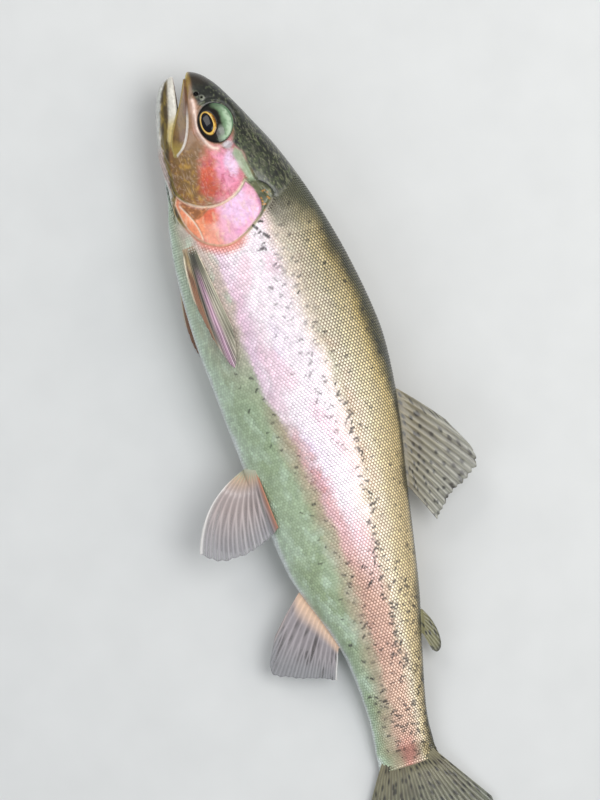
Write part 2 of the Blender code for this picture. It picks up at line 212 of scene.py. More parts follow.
def lattice_noise(x, y, cell, seed):
    """Smooth value noise, 0 to 1, on a square lattice of that size."""
    gx, gy = x / cell, y / cell
    ix, iy = np.floor(gx), np.floor(gy)
    fx, fy = gx - ix, gy - iy
    fx, fy = fx * fx * (3 - 2 * fx), fy * fy * (3 - 2 * fy)

    def corner(i, j):
        """A chance number for each lattice point."""
        h = np.sin(i * 127.1 + j * 311.7 + seed * 74.7) * 43758.5453
        return h - np.floor(h)
    low = mix(corner(ix, iy), corner(ix + 1, iy), fx)
    high = mix(corner(ix, iy + 1), corner(ix + 1, iy + 1), fx)
    return mix(low, high, fy)


def noise(x, y, cell, seed):
    """Smooth patches of about that size, 0 to 1, in two sizes on lattices turned against each other."""
    broad = lattice_noise(0.80 * x + 0.60 * y, 0.80 * y - 0.60 * x, cell, seed)
    small = lattice_noise(0.42 * x - 0.91 * y, 0.42 * y + 0.91 * x, 0.47 * cell, seed + 100)
    return np.clip(0.5 + 1.3 * (0.68 * broad + 0.32 * small - 0.5), 0, 1)


def cloud(low, high, x, y, cell, seed):
    """Soft-edged patches: 0 where the noise is below `low`, 1 where it is above `high`."""
    return ease(low, high, noise(x, y, cell, seed))


def sway(x, y, cell, seed):
    """Noise from -0.5 to 0.5."""
    return noise(x, y, cell, seed) - 0.5


def veins(x, y, cell, seed):
    """Thin wandering lines: 1 on them, 0 away from them."""
    shifted = x + 2 * noise(x, y, cell, seed + 1)
    return ease(0.80, 0.97, 1 - np.abs(2 * noise(shifted, y, cell, seed) - 1))


# ---------------------------------------------------------------- the body's form

eye_low, eye_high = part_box("eye_left")
SHIFT = (np.array(eye_low[:2]) + np.array(eye_high[:2])) / 2 / MM - np.array(EYE)


def place(along, up, out):
    """World points, in metres, of arrays of fish points. The resting flank stays on the floor."""
    height = reading(MID_HEIGHT, along) + out
    pressed = np.maximum(height + PRESS, 0) ** 2 / (4 * PRESS)
    height = np.where(height < PRESS, pressed, height)
    return np.stack([along + SHIFT[0], up + SHIFT[1], height], -1) * MM


def section(along):
    """(back, belly, half width, widest level, squareness), without the closing of the snout."""
    return (reading(BACK, along), reading(BELLY, along), reading(HALF_WIDTH, along),
            reading(WIDEST_LEVEL, along), reading(SQUARENESS, along))


def flank(along, up):
    """How far the body's side stands out from its mid-plane."""
    back, belly, width, level, power = section(along)
    closing = np.sqrt(np.clip(1 - np.clip(1 - along / NOSE_ROUND, 0, 1) ** 2, 1e-6, 1))
    reach = np.where(up > level, back - level, level - belly) * closing
    share = np.clip(np.abs(up - level) / reach, 0, 1)
    return width * closing * (1 - share**power) ** (1 / power)


def around(along, up, out):
    """`up` carried on round the body, growing on to the midlines of back and belly."""
    level = reading(WIDEST_LEVEL, along)
    turned = np.maximum(reading(HALF_WIDTH, along) - np.abs(out), 0)
    return level + np.sign(up - level) * (np.abs(up - level) ** 1.3 + turned**1.3) ** (1 / 1.3)


def girth(along, turns):
    """(up, out) of the body round one section. `turns` in radians, 0 at the back, + to the left."""
    back, belly, width, level, power = section(along)
    width = width * mix(1, 0.35, ease(444, TAIL_END, along))
    c, s = np.cos(turns), np.sin(turns)
    reach = np.where(c > 0, back - level, level - belly)
    up = level + reach * np.sign(c) * np.abs(c) ** (2 / power)
    return up, width * np.sign(s) * np.abs(s) ** (2 / power)


def body_depth(a, u, o):
    """Share of the way from the body's axis out to its surface. The snout is closed bluntly."""
    back, belly, width, level, power = section(a)
    reach = np.where(u > level, back - level, level - belly)
    depth = ((np.abs(u - level) / reach) ** power + (np.abs(o) / width) ** power) ** (1 / power)
    ahead = np.clip(1 - a / NOSE_ROUND, 0, 4)
    return (depth**NOSE_BLUNT + ahead**NOSE_BLUNT) ** (1 / NOSE_BLUNT)


# ---------------------------------------------------------------- meshes, materials, pieces

def fast_mesh(name, points, faces, attributes=None):
    """A smooth-shaded mesh of triangles or quads. Attributes are arrays by point: 3 wide are colours."""
    faces = np.asarray(faces, np.int32)
    mesh = bpy.data.meshes.new(name)
    mesh.vertices.add(len(points))
    mesh.vertices.foreach_set("co", np.asarray(points, np.float32).ravel())
    mesh.loops.add(faces.size)
    mesh.loops.foreach_set("vertex_index", faces.ravel())
    mesh.polygons.add(len(faces))
    mesh.polygons.foreach_set("loop_start", np.arange(0, faces.size, faces.shape[1], dtype=np.int32))
    mesh.update(calc_edges=True)
    mesh.polygons.foreach_set("use_smooth", np.ones(len(faces), bool))
    for word, values in (attributes or {}).items():
        values = np.asarray(values, np.float32)
        kind, field = ("FLOAT_COLOR", "color") if values.ndim == 2 else ("FLOAT", "value")
        if values.ndim == 2:
            values = np.c_[values, np.ones(len(values), np.float32)]
        mesh.attributes.new(word, kind, "POINT").data.foreach_set(field, values.ravel())
    return mesh


def linked(name, data):
    """A new object of the scene."""
    obj = bpy.data.objects.new(name, data)
    bpy.context.scene.collection.objects.link(obj)
    return obj


def piece(name, mesh, made, replaced=()):
    """A mesh as a piece of the model, with its material."""
    obj = linked(name, mesh)
    mesh.materials.append(made)
    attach(obj, "root")
    if replaced:
        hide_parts(*replaced)
    return obj


def linear(r, g, b):
    """A linear colour from one written as 0 to 255."""
    c = np.array([r, g, b]) / 255
    return np.where(c <= 0.04045, c / 12.92, ((c + 0.055) / 1.055) ** 2.4)


def sheet_faces(rows, columns):
    """Quads of a grid of points stored row by row."""
    r, c = np.meshgrid(np.arange(rows - 1), np.arange(columns - 1), indexing="ij")
    first = (r * columns + c).ravel()
    return np.stack([first, first + 1, first + columns + 1, first + columns], 1)


def tube_faces(rings, count):
    """Quads between closed rings of points, stored ring by ring."""
    first = (np.arange(rings - 1) * count)[:, None]
    here = np.arange(count)
    after = (here + 1) % count
    corners = (first + here, first + after, first + count + after, first + count + here)
    return np.stack([corner.ravel() for corner in corners], 1)


def edge_uses(quads):
    """The edges of a mesh of quads, and how many quads use each."""
    edges = np.vstack([quads[:, [k, (k + 1) % 4]] for k in range(4)])
    return np.unique(np.sort(edges, 1), axis=0, return_counts=True)


# ---------------------------------------------------------------- relief of the head

def cheek_arc():
    """The rear border of the cheek, where the gill cover starts."""
    turns = np.radians(np.linspace(55, -62, 24))
    return np.stack([CHEEK_CENTRE[0] + CHEEK_RADIUS * np.cos(turns),
                     CHEEK_CENTRE[1] + CHEEK_RADIUS * np.sin(turns)], 1)


def beyond_cheek(a, u):
    """Distance outside the cheek's rounded border."""
    return np.hypot(a - CHEEK_CENTRE[0], u - CHEEK_CENTRE[1]) - CHEEK_RADIUS


COVER_LINE = polyline(COVER_EDGE)
COVER_OUTLINE = np.vstack([cheek_arc(), COVER_LINE[::-1]])
BESIDE_SCALES = 41             # points of the gill cover's edge that border the scales
HEAD_REAR = np.vstack([NAPE_EDGE, COVER_LINE[:BESIDE_SCALES], THROAT_EDGE])
SUBORBITAL = polyline([(18, -3), (24, -3.4), (33.5, -5.2), (40, -5.6), (47, -3.6), (52.7, 0), (54.5, 5)])
TOP_LINE = polyline([(53, 12), (60, 15), (70, 17), (82, 19.5), (93, 25)])
CHEEK_FOOT = polyline([(78, -27), (70, -30), (60, -29), (55, -27)])
SUBOPERCLE = polyline([(80, -31), (86, -28), (93, -24.8), (100, -23), (107, -22.6)])
INTEROPERCLE = polyline([(87, -14), (90, -19), (93, -24.8)])
FOLD_LINE = polyline([(54, -29.5), (66, -32), (79, -34), (90, -32.9), (101, -28)])
JAW_GROOVE = polyline([(5, -18.5), (15, -23.2), (27, -27), (40, -29.3), (54, -31)])
LIP_LINE = polyline([(3, -14.4), (15.4, -17.6), (28, -21), (39, -25)])
# Ridges and, with a height below 0, grooves of the head: (line, height, half breadth).
HEAD_RIDGES = ((SUBORBITAL, 0.8, 1.3), (TOP_LINE, -0.7, 0.9), (CHEEK_FOOT, -0.45, 0.9),
               (SUBOPERCLE, -0.5, 0.6), (INTEROPERCLE, -0.35, 0.6), (JAW_GROOVE, -0.55, 0.8),
               (LIP_LINE, -0.3, 0.7))
NOSTRILS = ((16.9, 0.1), (20.0, 2.8))
NOSTRIL_RADII = (1.35, 0.9)
NOSTRIL_DEPTH = 2.2
EYE_SIZE = 11                  # about the eye's mean radius
SOCKET_DEPTH = 4
FLAP = polyline([(77, 13.5), (84, 16.0), (91, 18.0), (97, 17.8), (103, 14.5), (99.5, 20), (95, 24.8),
                 (90, 26.8), (85, 24.6), (81, 20.4), (77, 13.5)])


def maxilla_line():
    """The jaw blade's middle line: a parabola under the cheek."""
    first, middle, last = np.array(MAXILLA_LINE)
    t = np.linspace(0, 1, 25)[:, None]
    return mix(mix(first, middle, t), mix(middle, last, t), t)


def orbit(a, u):
    """1 on the rim of the eye's opening, less inside."""
    return oval(a, u, EYE, EYE_RADII)


def cheek_plane(a, u):
    """How far out the flat that touches the face at the eye lies."""
    at, rise = np.array(EYE[0]), np.array(EYE[1])
    by_along = (flank(at + 1, rise) - flank(at - 1, rise)) / 2
    by_up = (flank(at, rise + 1) - flank(at, rise - 1)) / 2
    return flank(at, rise) + by_along * (a - EYE[0]) + by_up * (u - EYE[1])


def eye_dome(a, u):
    """How far out the eye's surface lies: a low dome on the face, its rim sunk under the skin."""
    return cheek_plane(a, u) + 2.3 - 3.1 * orbit(a, u) ** 2.2


def throat_folds(a, u):
    """(ridge from 0 to 1, weight) of the branchiostegal rays under the gill cover's lower edge."""
    off = -over(a, u, FOLD_LINE)
    ridge = 0.5 - 0.5 * np.cos(2 * np.pi * (off - 0.3) / 1.9)
    weight = ease(0.2, 1.0, off) * ease(7.5, 5.0, off) * ease(54, 64, a) * ease(101, 94, a)
    return ridge, weight


def throat_slit(a, o):
    """Distance outside the edge of the gill membrane under the throat, a V that opens backwards."""
    return 0.9 * (np.abs(o) - 15.5 * np.clip((a - 43) / 38, 0, 1) ** 0.8)


def throat_wave(off):
    """1 on the rays of the gill membrane, -1 between them."""
    return np.cos(2 * np.pi * (off - 1.6) / 2.1)


def throat_relief(a, o):
    """How far the underside stands out: a keel between rayed membranes, and the mouth's floor."""
    width = reading(HALF_WIDTH, a)
    off = throat_slit(a, o)
    rays = 0.22 * throat_wave(off) * ease(0.6, 1.4, off) * ease(14, 11, off)
    membranes = rays - 0.8 * ease(0.5, -0.5, off) - 0.6 * bump(off, 0.6)
    floor_of_mouth = -0.7 * ease(0.55, 0.38, np.abs(o) / width) + 0.3 * bump(o, 2.0)
    return mix(floor_of_mouth * ease(8, 14, a), membranes, ease(38, 48, a)) * ease(98, 88, a)


def underneath(a, u):
    """1 on the underside, 0 on the flanks."""
    level = reading(WIDEST_LEVEL, a)
    return ease(0.66, 0.84, (level - u) / (level - reading(BELLY, a)))


def head_border(a, u, o, beside):
    """Signed distance to the edge of the scales, negative on the head.

    `beside` is the same distance in the side view alone.
    """
    back, belly, width, level, _ = section(a)
    aside = np.abs(o) / width
    below = (a - 62 - 30 * ease(0.05, 0.8, aside)) * 0.7
    above = a - mix(87, 79, ease(0.0, 0.55, aside))
    border = mix(beside, below, ease(0.74, 0.90, (level - u) / (level - belly)))
    return mix(border, above, ease(0.86, 0.97, (u - level) / (back - level)))


def head_relief(a, u):
    """How far the head's skin stands out from the plain body, in mm, by place in the side view."""
    cheek = beyond_cheek(a, u)
    turn = np.degrees(np.arctan2(u - CHEEK_CENTRE[1], a - CHEEK_CENTRE[0]))
    on_arc = ease(70, 50, turn) * ease(-78, -58, turn)
    cover = region(a, u, COVER_OUTLINE)
    relief = mix(0.35, 1.7, ease(0, 20, cheek)) * ease(0, -1.0, cover)
    relief += 0.8 * ease(-14, -1, cheek) * ease(0.35, -0.35, cheek) * on_arc
    relief += 0.3 * bump(cheek + 0.9, 0.8) * on_arc - 0.35 * bump(cheek - 0.7, 0.7) * on_arc
    for line, height, width in HEAD_RIDGES:
        distance, share = line_distance(a, u, line)
        relief += height * bump(distance, width) * np.sin(np.pi * np.clip(share, 0.08, 0.92)) ** 0.4
    relief += 0.35 * bump(line_distance(a, u, SUBOPERCLE + [0, 1.1])[0], 0.6)
    flap = region(a, u, FLAP)
    relief += 0.5 * ease(0.8, -1.4, flap) - 0.4 * bump(flap - 1.2, 0.8)
    ridge, weight = throat_folds(a, u)
    relief += 0.5 * (ridge - 0.4) * weight
    rim = orbit(a, u)
    relief += 0.5 * bump((rim - 1.12) * EYE_SIZE, 1.0) - 0.4 * bump((rim - 1.3) * EYE_SIZE, 1.2)
    for na, nu in NOSTRILS:
        relief += 0.45 * bump(np.hypot(a - na, u - nu) - 1.7, 0.6)
    relief += 0.35 * sway(a, u, 9, 3) * ease(-2, -10, region(a, u, HEAD_REAR))
    return relief


def ball(a, u, o, centre, radii):
    """Distance from a centre on the mid-plane, 1 on the ball with those three radii."""
    return np.sqrt(((a - centre[0]) / radii[0]) ** 2 + ((u - centre[1]) / radii[1]) ** 2
                   + (o / radii[2]) ** 2)


def head_field(a, u, o):
    """Signed distance, in mm, to the head's skin on a grid, negative inside."""
    A, U, O = a[:, None, None], u[None, :, None], o[None, None, :]
    depth = body_depth(A, U, O)
    slopes = np.gradient(depth, a, u, o)
    base = (depth - 1) / np.sqrt(sum(s * s for s in slopes) + 1e-9)

    a2, u2 = np.meshgrid(a, u, indexing="ij")
    relief = head_relief(a2, u2)[:, :, None]
    border = head_border(A, U, O, region(a2, u2, HEAD_REAR)[:, :, None])
    inset = mix(0.12, COAT_DEPTH, ease(-0.5, 1.0, border))
    aside = ease(0.12, 0.4, np.abs(O) / reading(HALF_WIDTH, A))
    d = base + inset - relief * aside - throat_relief(A, O) * underneath(A, U)

    off, share = line_distance(a2, u2, maxilla_line())
    blade = off - reading(MAXILLA_HALF_BREADTH, share)

    x = a2[:, 0]
    top = np.interp(x, *np.array(GAPE_TOP).T)[:, None, None]
    bottom = np.interp(x, *np.array(GAPE_BOTTOM).T)[:, None, None]
    gape = np.maximum(np.maximum(U - top, bottom - U), A - GAPE_TOP[-1][0])
    d = smooth_max(d, -gape, 1.6)
    room = (ball(A, U, O, MOUTH_CENTRE, MOUTH_RADII) - 1) * MOUTH_RADII[1]
    d = smooth_max(d, -room, 1.2)

    plate = smooth_max(np.abs(base - 0.35) - 0.85, blade[:, :, None], 1.1)
    d = smooth_min(d, plate, 0.5)

    floor_of_socket = cheek_plane(a2, u2)[:, :, None] - SOCKET_DEPTH
    socket = np.maximum((orbit(a2, u2)[:, :, None] - 1) * EYE_SIZE, floor_of_socket - np.abs(O))
    d = smooth_max(d, -socket, 1.0)
    for (na, nu), size in zip(NOSTRILS, NOSTRIL_RADII):
        depth = flank(np.array(na), np.array(nu))
        hole = (ball(A, U, np.abs(O) - depth, (na, nu), (size, size, NOSTRIL_DEPTH)) - 1) * size
        d = smooth_max(d, -hole, 0.4)
    return d


def surface_net(field, axes):
    """Points and quads of the zero surface of a field sampled on a grid with those coordinates."""
    inside = field < 0
    shape = np.array(field.shape) - 1
    corners = list(itertools.product((0, 1), repeat=3))
    count = sum(inside[i:shape[0] + i, j:shape[1] + j, k:shape[2] + k].astype(np.int8)
                for i, j, k in corners)
    active = (count > 0) & (count < 8)
    cells = np.argwhere(active)
    index = np.full(active.shape, -1, np.int32)
    index[active] = np.arange(len(cells))
    total, hits = np.zeros((len(cells), 3)), np.zeros((len(cells), 1))
    for p, q in itertools.combinations(corners, 2):
        if sum(abs(s - t) for s, t in zip(p, q)) != 1:
            continue
        fp, fq = field[tuple((cells + p).T)], field[tuple((cells + q).T)]
        crosses = ((fp < 0) != (fq < 0))[:, None]
        t = (fp / np.where(fp == fq, 1, fp - fq))[:, None]
        total += np.where(crosses, np.array(p) + t * (np.array(q) - np.array(p)), 0)
        hits += crosses
    at = cells + total / hits
    points = np.stack([np.interp(at[:, k], np.arange(len(axes[k])), axes[k]) for k in range(3)], 1)
    faces = []
    for axis in range(3):
        b, c = (axis + 1) % 3, (axis + 2) % 3
        along = np.moveaxis(inside, axis, 0)
        edges = np.argwhere(np.moveaxis(along[:-1] != along[1:], 0, axis))
        beside = edges[:, [b, c]]
        edges = edges[((beside > 0) & (beside < shape[[b, c]])).all(1)]
        step_b, step_c = np.eye(3, dtype=int)[b], np.eye(3, dtype=int)[c]
        quad = np.stack([index[tuple((edges - step_b - step_c).T)], index[tuple((edges - step_c).T)],
                         index[tuple(edges.T)], index[tuple((edges - step_b).T)]], 1)
        leaves = inside[tuple(edges.T)]
        faces.append(np.where(leaves[:, None], quad, quad[:, ::-1]))
    return points, np.vstack(faces)


def relax(points, faces, rounds, strength=0.5):
    """Evens out the points of a mesh, keeping those on an open edge."""
    edges, uses = edge_uses(faces)
    fixed = np.zeros(len(points), bool)
    fixed[edges[uses == 1].ravel()] = True
    both = np.vstack([edges, edges[:, ::-1]])
    near = np.bincount(both[:, 0], minlength=len(points))
    for _ in range(rounds):
        mean = np.stack([np.bincount(both[:, 0], axis[both[:, 1]], len(points)) for axis in points.T], 1)
        mean /= np.maximum(near, 1)[:, None]
        points = np.where(fixed[:, None], points, mix(points, mean, strength))
    return points


def zip_loops(first, second, middle, points):
    """Triangles between two loops of points round the fish. `middle` is the (up, out) they go round."""
    def by_turn(loop):
        """The loop closed on itself, with the turn of each point; the last turn is never reached."""
        turns = np.arctan2(points[loop, 2] - middle[1], points[loop, 1] - middle[0])
        order = np.argsort(turns)
        turns = turns[order]
        return np.append(loop[order], loop[order[0]]), np.r_[turns, turns[0] + 2 * np.pi, np.inf]
    a, turn_a = by_turn(first)
    b, turn_b = by_turn(second)
    i = j = 0
    faces = []
    while i < len(first) or j < len(second):
        if turn_a[i + 1] <= turn_b[j + 1]:
            faces.append((a[i], a[i + 1], b[j]))
            i += 1
        else:
            faces.append((a[i], b[j + 1], b[j]))
            j += 1
    return faces


def head_net():
    """The head's skin as points and quads, open at its rear end, and the place of that end."""
    step = NET_STEP
    a = np.arange(NET_FRONT, HEAD_END + step / 2, step)
    u = np.arange(*NET_UP, step)
    half = np.arange(step / 2, NET_OUT, step)
    half_field = head_field(a, u, half)
    field = np.concatenate([half_field[:, :, ::-1], half_field], 2)
    points, quads = surface_net(field, (a, u, np.concatenate([-half[::-1], half])))
    return relax(points, quads, 2), quads, a[-1]


def shrunk(away):
    """Distances from the middle brought nearer by the room of the scales."""
    return np.maximum(np.abs(away) - COAT_DEPTH, 0) * np.sign(away)


def trunk_rings(first):
    """Rings of points round trunk and tail, from one place on, just inside the solids."""
    turns = np.linspace(0, 2 * np.pi, RING_POINTS, endpoint=False)
    rings = []
    for at in np.append(np.arange(first, LAST_RINGS[0] - 2, RING_STEP), LAST_RINGS):
        here = np.full(RING_POINTS, at)
        up, out = girth(here, turns)
        rise = up - reading(WIDEST_LEVEL, at)
        rings.append(np.stack([here, reading(WIDEST_LEVEL, at) + shrunk(rise), shrunk(out)], 1))
    return rings


def skin_points():
    """The skin in fish coordinates: a fine net for the head, rings for trunk and tail, in one mesh."""
    points, quads, net_end = head_net()
    rings = trunk_rings(net_end + FIRST_GAP)
    start = len(points)
    points = np.vstack([points, *rings])
    quads = np.vstack([quads, start + tube_faces(len(rings), RING_POINTS)])

    edges, uses = edge_uses(quads)
    open_edges = edges[uses == 1]
    loop = np.unique(open_edges[open_edges[:, 0] < start])
    loop = loop[points[loop, 0] > HEAD_END - 3]
    ring = np.arange(RING_POINTS)
    seam = zip_loops(loop, start + ring, (reading(WIDEST_LEVEL, HEAD_END), 0.0), points)
    last = len(points) - RING_POINTS
    points = np.vstack([points, [[TAIL_END + 0.5, 1.0, 0.0]]])
    cap = [(last + k, last + (k + 1) % RING_POINTS, len(points) - 1) for k in ring]
    return points, quads, np.array(seam + cap)


# ---------------------------------------------------------------- markings

BAND_LOW = [(108, -22), (150, -18), (200, -17), (250, -7), (300, 0), (350, 1.5), (400, 0), (456, -4)]
BAND_HIGH = [(108, 27), (150, 28), (200, 32), (250, 31), (300, 26), (350, 20), (400, 16), (456, 10)]
LATERAL = [(84, 24), (110, 18), (150, 15), (200, 13), (300, 9), (400, 4), (456, 1)]
CROWN_LINE = [(-5, 0.5), (8, -1.5), (17, -2.2), (24, -1.0), (28, 4), (31, 14), (38, 17), (46, 15),
              (53, 12.5), (60, 16), (73, 17.8), (85, 19), (93, 25.5), (97, 29)]
JAW_LINE = [(-5, -4), (2, -6.3), (12, -9.5), (23, -13.2), (31, -16.3), (40, -23), (48, -27), (55, -28.5),
            (66, -31), (90, -31)]
INTEROPERCLE_PLATE = [(79, -26.5), (84.5, -19.5), (87.6, -12), (91.5, -19), (93, -24.8), (86, -28),
                      (80, -30)]
# Painted strokes of the head: (line, colour, half breadth, cover). The last, pale stroke along the
# suborbital ridge is a painted highlight.
HEAD_STROKES = ((cheek_arc(), (252, 228, 204), 0.5, 0.95), (SUBOPERCLE, (250, 232, 208), 0.45, 0.9),
                (INTEROPERCLE, (206, 120, 70), 0.6, 0.6), (SUBORBITAL, (226, 176, 158), 2.0, 0.6),
                # painted highlight along the shiny suborbital ridge
                (SUBORBITAL, (250, 226, 212), 0.95, 0.9))
BROW_BAR = [(56, 13), (60, 16.5), (72, 18), (80, 19), (79, 15.5), (70, 12.5), (60, 10.5)]


def lay(under, colour, cover):
    """One colour laid over others, with its cover from 0 to 1 at each place."""
    return under + (linear(*colour) - under) * np.clip(cover, 0, 1)[:, None]


def plain(like, colour):
    """One colour for each of many places."""
    return np.tile(linear(*colour), (len(like), 1))


def layered(under, layers):
    """Colours laid over others one after another: layers are pairs of colour and cover."""
    for colour, cover in layers:
        under = lay(under, colour, cover)
    return under


def blend(under, upper, cover):
    """Colours mixed, with a share of the upper ones for each place."""
    return mix(under, upper, cover[:, None])


def dots(x, y, cell, seed, keep):
    """Distance to the nearest dot of a jittered grid; `keep` is the share of the cells with a dot."""
    ix, iy = np.floor(x / cell), np.floor(y / cell)
    nearest = np.full(np.shape(x), 1e9)
    for i, j in itertools.product((-1, 0, 1), repeat=2):
        def chance(k):
            """A chance number for each cell."""
            h = np.sin((ix + i) * 91.7 + (iy + j) * 233.1 + (seed + k) * 37.9) * 24634.63
            return h - np.floor(h)
        cx, cy = (ix + i + 0.1 + 0.8 * chance(1)) * cell, (iy + j + 0.1 + 0.8 * chance(2)) * cell
        away = np.hypot(x - cx, y - cy) + np.where(chance(3) < keep, 0, 1e9)
        nearest = np.minimum(nearest, away)
    return nearest


def spot_marks(side):
    """Seeded black marks of one flank: rows of (along, up, length, heading, curl, strength)."""
    rng = np.random.default_rng(11 if side > 0 else 23)
    marks = []

    def scatter(first, last, apart, rise_low, rise_high, sizes, strengths):
        """Marks from one place to another along the flank, between two rises."""
        for at in np.arange(first, last, apart):
            a = at + rng.uniform(-0.4, 0.4) * apart
            low, high = rise_low(a), rise_high(a)
            marks.append((a, rng.uniform(low, high), rng.uniform(*sizes), rng.normal(np.pi / 2, 0.5),
                          rng.uniform(-1, 1), rng.uniform(*strengths)))

    def low(a):
        """The lower border of the flank band."""
        return float(reading(BAND_LOW, a))

    def high(a):
        """The upper border of the flank band."""
        return float(reading(BAND_HIGH, a))

    def top(a):
        """The midline of the back, carried on round the body."""
        return float(around(a, reading(BACK, a), 0.0))

    scatter(106, 122, 2.6, lambda a: 9, lambda a: 21, (1.6, 3.2), (0.9, 1))
    scatter(112, 220, 9, lambda a: high(a) - 4, lambda a: high(a) + 3, (1.5, 2.6), (0.6, 1))
    scatter(220, 400, 3.0, lambda a: high(a) - 4, lambda a: high(a) + 3, (1.5, 2.8), (0.8, 1))
    scatter(112, 260, 2.6, lambda a: high(a) - 20, lambda a: high(a) - 2, (1.6, 2.6), (0.35, 0.75))
    scatter(112, 215, 4.0, lambda a: 0, lambda a: high(a) - 10, (1.3, 2.2), (0.25, 0.6))
    scatter(100, 450, 4.2, lambda a: high(a) + 3, top, (1.2, 2.4), (0.6, 1))
    scatter(190, 440, 5.0, lambda a: low(a) - 17, lambda a: low(a) + 1, (1.3, 2.3), (0.5, 0.9))
    scatter(315, 455, 1.1, lambda a: low(a) - 4, top, (1.3, 2.5), (0.6, 1))
    scatter(395, 455, 2.2, lambda a: low(a) - 9, top, (1.4, 2.6), (0.7, 1))
    return np.array(marks)


def black_marks(a, u, side):
    """How much of the black marks covers each place: short curled strokes."""
    dark = np.zeros(len(a))
    for at, rise, size, heading, curl, strength in spot_marks(side):
        near = np.nonzero((np.abs(a - at) < MARK_ROOM) & (np.abs(u - rise) < MARK_ROOM))[0]
        x, y = a[near] - at, u[near] - rise
        run = x * np.cos(heading) + y * np.sin(heading)
        off = y * np.cos(heading) - x * np.sin(heading) - curl * 0.45 * run * run / size
        stroke = np.hypot(np.maximum(np.abs(run) - 0.5 * size, 0), off)
        breadth = 0.27 * size
        dark[near] = np.maximum(dark[near], strength * ease(breadth + 0.3, breadth - 0.15, stroke))
    return dark


def belly_paint(a, u, v, low, belly):
    """(middle, rim) colours of the scales under the flank band: green-silver, white at the midline."""
    deep = np.clip((low - v) / np.maximum(low - belly, 1), 0, 1)
    middle = layered(plain(a, (172, 190, 158)), [
        ((146, 164, 122), 0.7 * cloud(0.4, 0.8, a, u, 16, 7) * ease(200, 270, a)),
        ((216, 196, 188), ease(215, 150, a) * ease(0.9, 0.1, deep)),
        ((206, 226, 206), ease(0.5, 0.95, deep) * mix(1, 0.55, ease(210, 280, a))),
        ((206, 226, 206), 0.5 * cloud(0.5, 0.9, a, u * 1.4, 9, 8)),
        ((192, 166, 144), 0.8 * ease(15, 1, low - v) * ease(195, 240, a)),
        ((226, 232, 232), ease(0.78, 0.94, deep)),
    ])
    return middle, middle * (0.80, 0.83, 0.80)


def band_paint(a, u, v, low, high):
    """(middle, rim) colours of the scales on the flank band: pearl and pink, reddish low at the rear."""
    red = ease(low + 12, low + 4, v + 5 * sway(a, u, 3, 15)) * ease(210, 255, a)
    band = layered(plain(a, (252, 248, 250)), [
        ((226, 208, 240), 0.5 * cloud(0.4, 0.8, a, u * 1.7, 24, 9) * ease(high - 16, low + 8, v)),
        ((250, 214, 226), 0.5 * cloud(0.5, 0.85, a, u * 1.7, 20, 10)),
        ((250, 238, 216), 0.8 * ease(high - 14, high, v)),
        ((244, 214, 232), 0.6 * ease(low + 14, low + 2, v) * ease(235, 190, a)),
        ((204, 142, 130), 0.8 * red * mix(0.6, 1.0, noise(a, u, 2.6, 77))),
        ((246, 200, 204), 0.6 * ease(270, 300, a - (v - low))),
        ((224, 184, 164), 0.95 * ease(290, 338, a - (v - low) * 1.5)),
        ((240, 208, 184), 0.7 * ease(375, 420, a)),
        ((226, 150, 140), 0.7 * ease(432, 450, a)),
    ])
    edge = blend(np.array([0.80, 0.68, 0.77]), np.array([0.42, 0.33, 0.29]), ease(280, 345, a))
    edge = blend(edge, np.array([0.40, 0.33, 0.26]), ease(high - 16, high, v) * ease(260, 120, a))
    return band, band * edge


def back_paint(a, u, v, high, back):
    """(middle, rim) colours of the scales over the flank band: gold with a painted glint, olive on the
    back.
    """
    rise = np.clip((v - high) / np.maximum(back - high, 1), 0, 1)
    tailward = ease(190, 290, a)
    olive_and_shade = ease(mix(0.52, 0.82, tailward), mix(0.80, 0.98, tailward), rise)
    # painted shade: darker still near the back's midline, over the olive of the back
    olive_and_shade = np.maximum(olive_and_shade, 0.9 * ease(10, 2, back - v))
    # the near-white middles of the gold scales are partly a painted glint on each domed scale
    gold = layered(plain(a, (255, 247, 222)), [
        ((255, 236, 186), ease(0.1, 0.4, rise)),
        ((246, 218, 140), ease(0.4, 0.65, rise) * mix(1.0, 0.25, tailward)),
        ((128, 126, 96), 0.5 * ease(190, 110, a) * ease(0.4, 0.7, rise)),
        ((92, 88, 48), olive_and_shade),
        ((60, 62, 38), 0.8 * olive_and_shade * cloud(0.4, 0.7, a, u, 9, 17)),
        ((224, 168, 146), 0.45 * cloud(0.4, 0.8, a, u, 13, 12) * ease(0.3, 0, rise)),
    ])
    grain = blend(linear(98, 66, 34), linear(122, 84, 48), tailward)
    grain = blend(grain, linear(24, 15, 4), ease(0.08, 0.3, rise) * mix(1.0, 0.6, tailward))
    grain = lay(grain, (12, 12, 7), olive_and_shade)
    return gold, grain


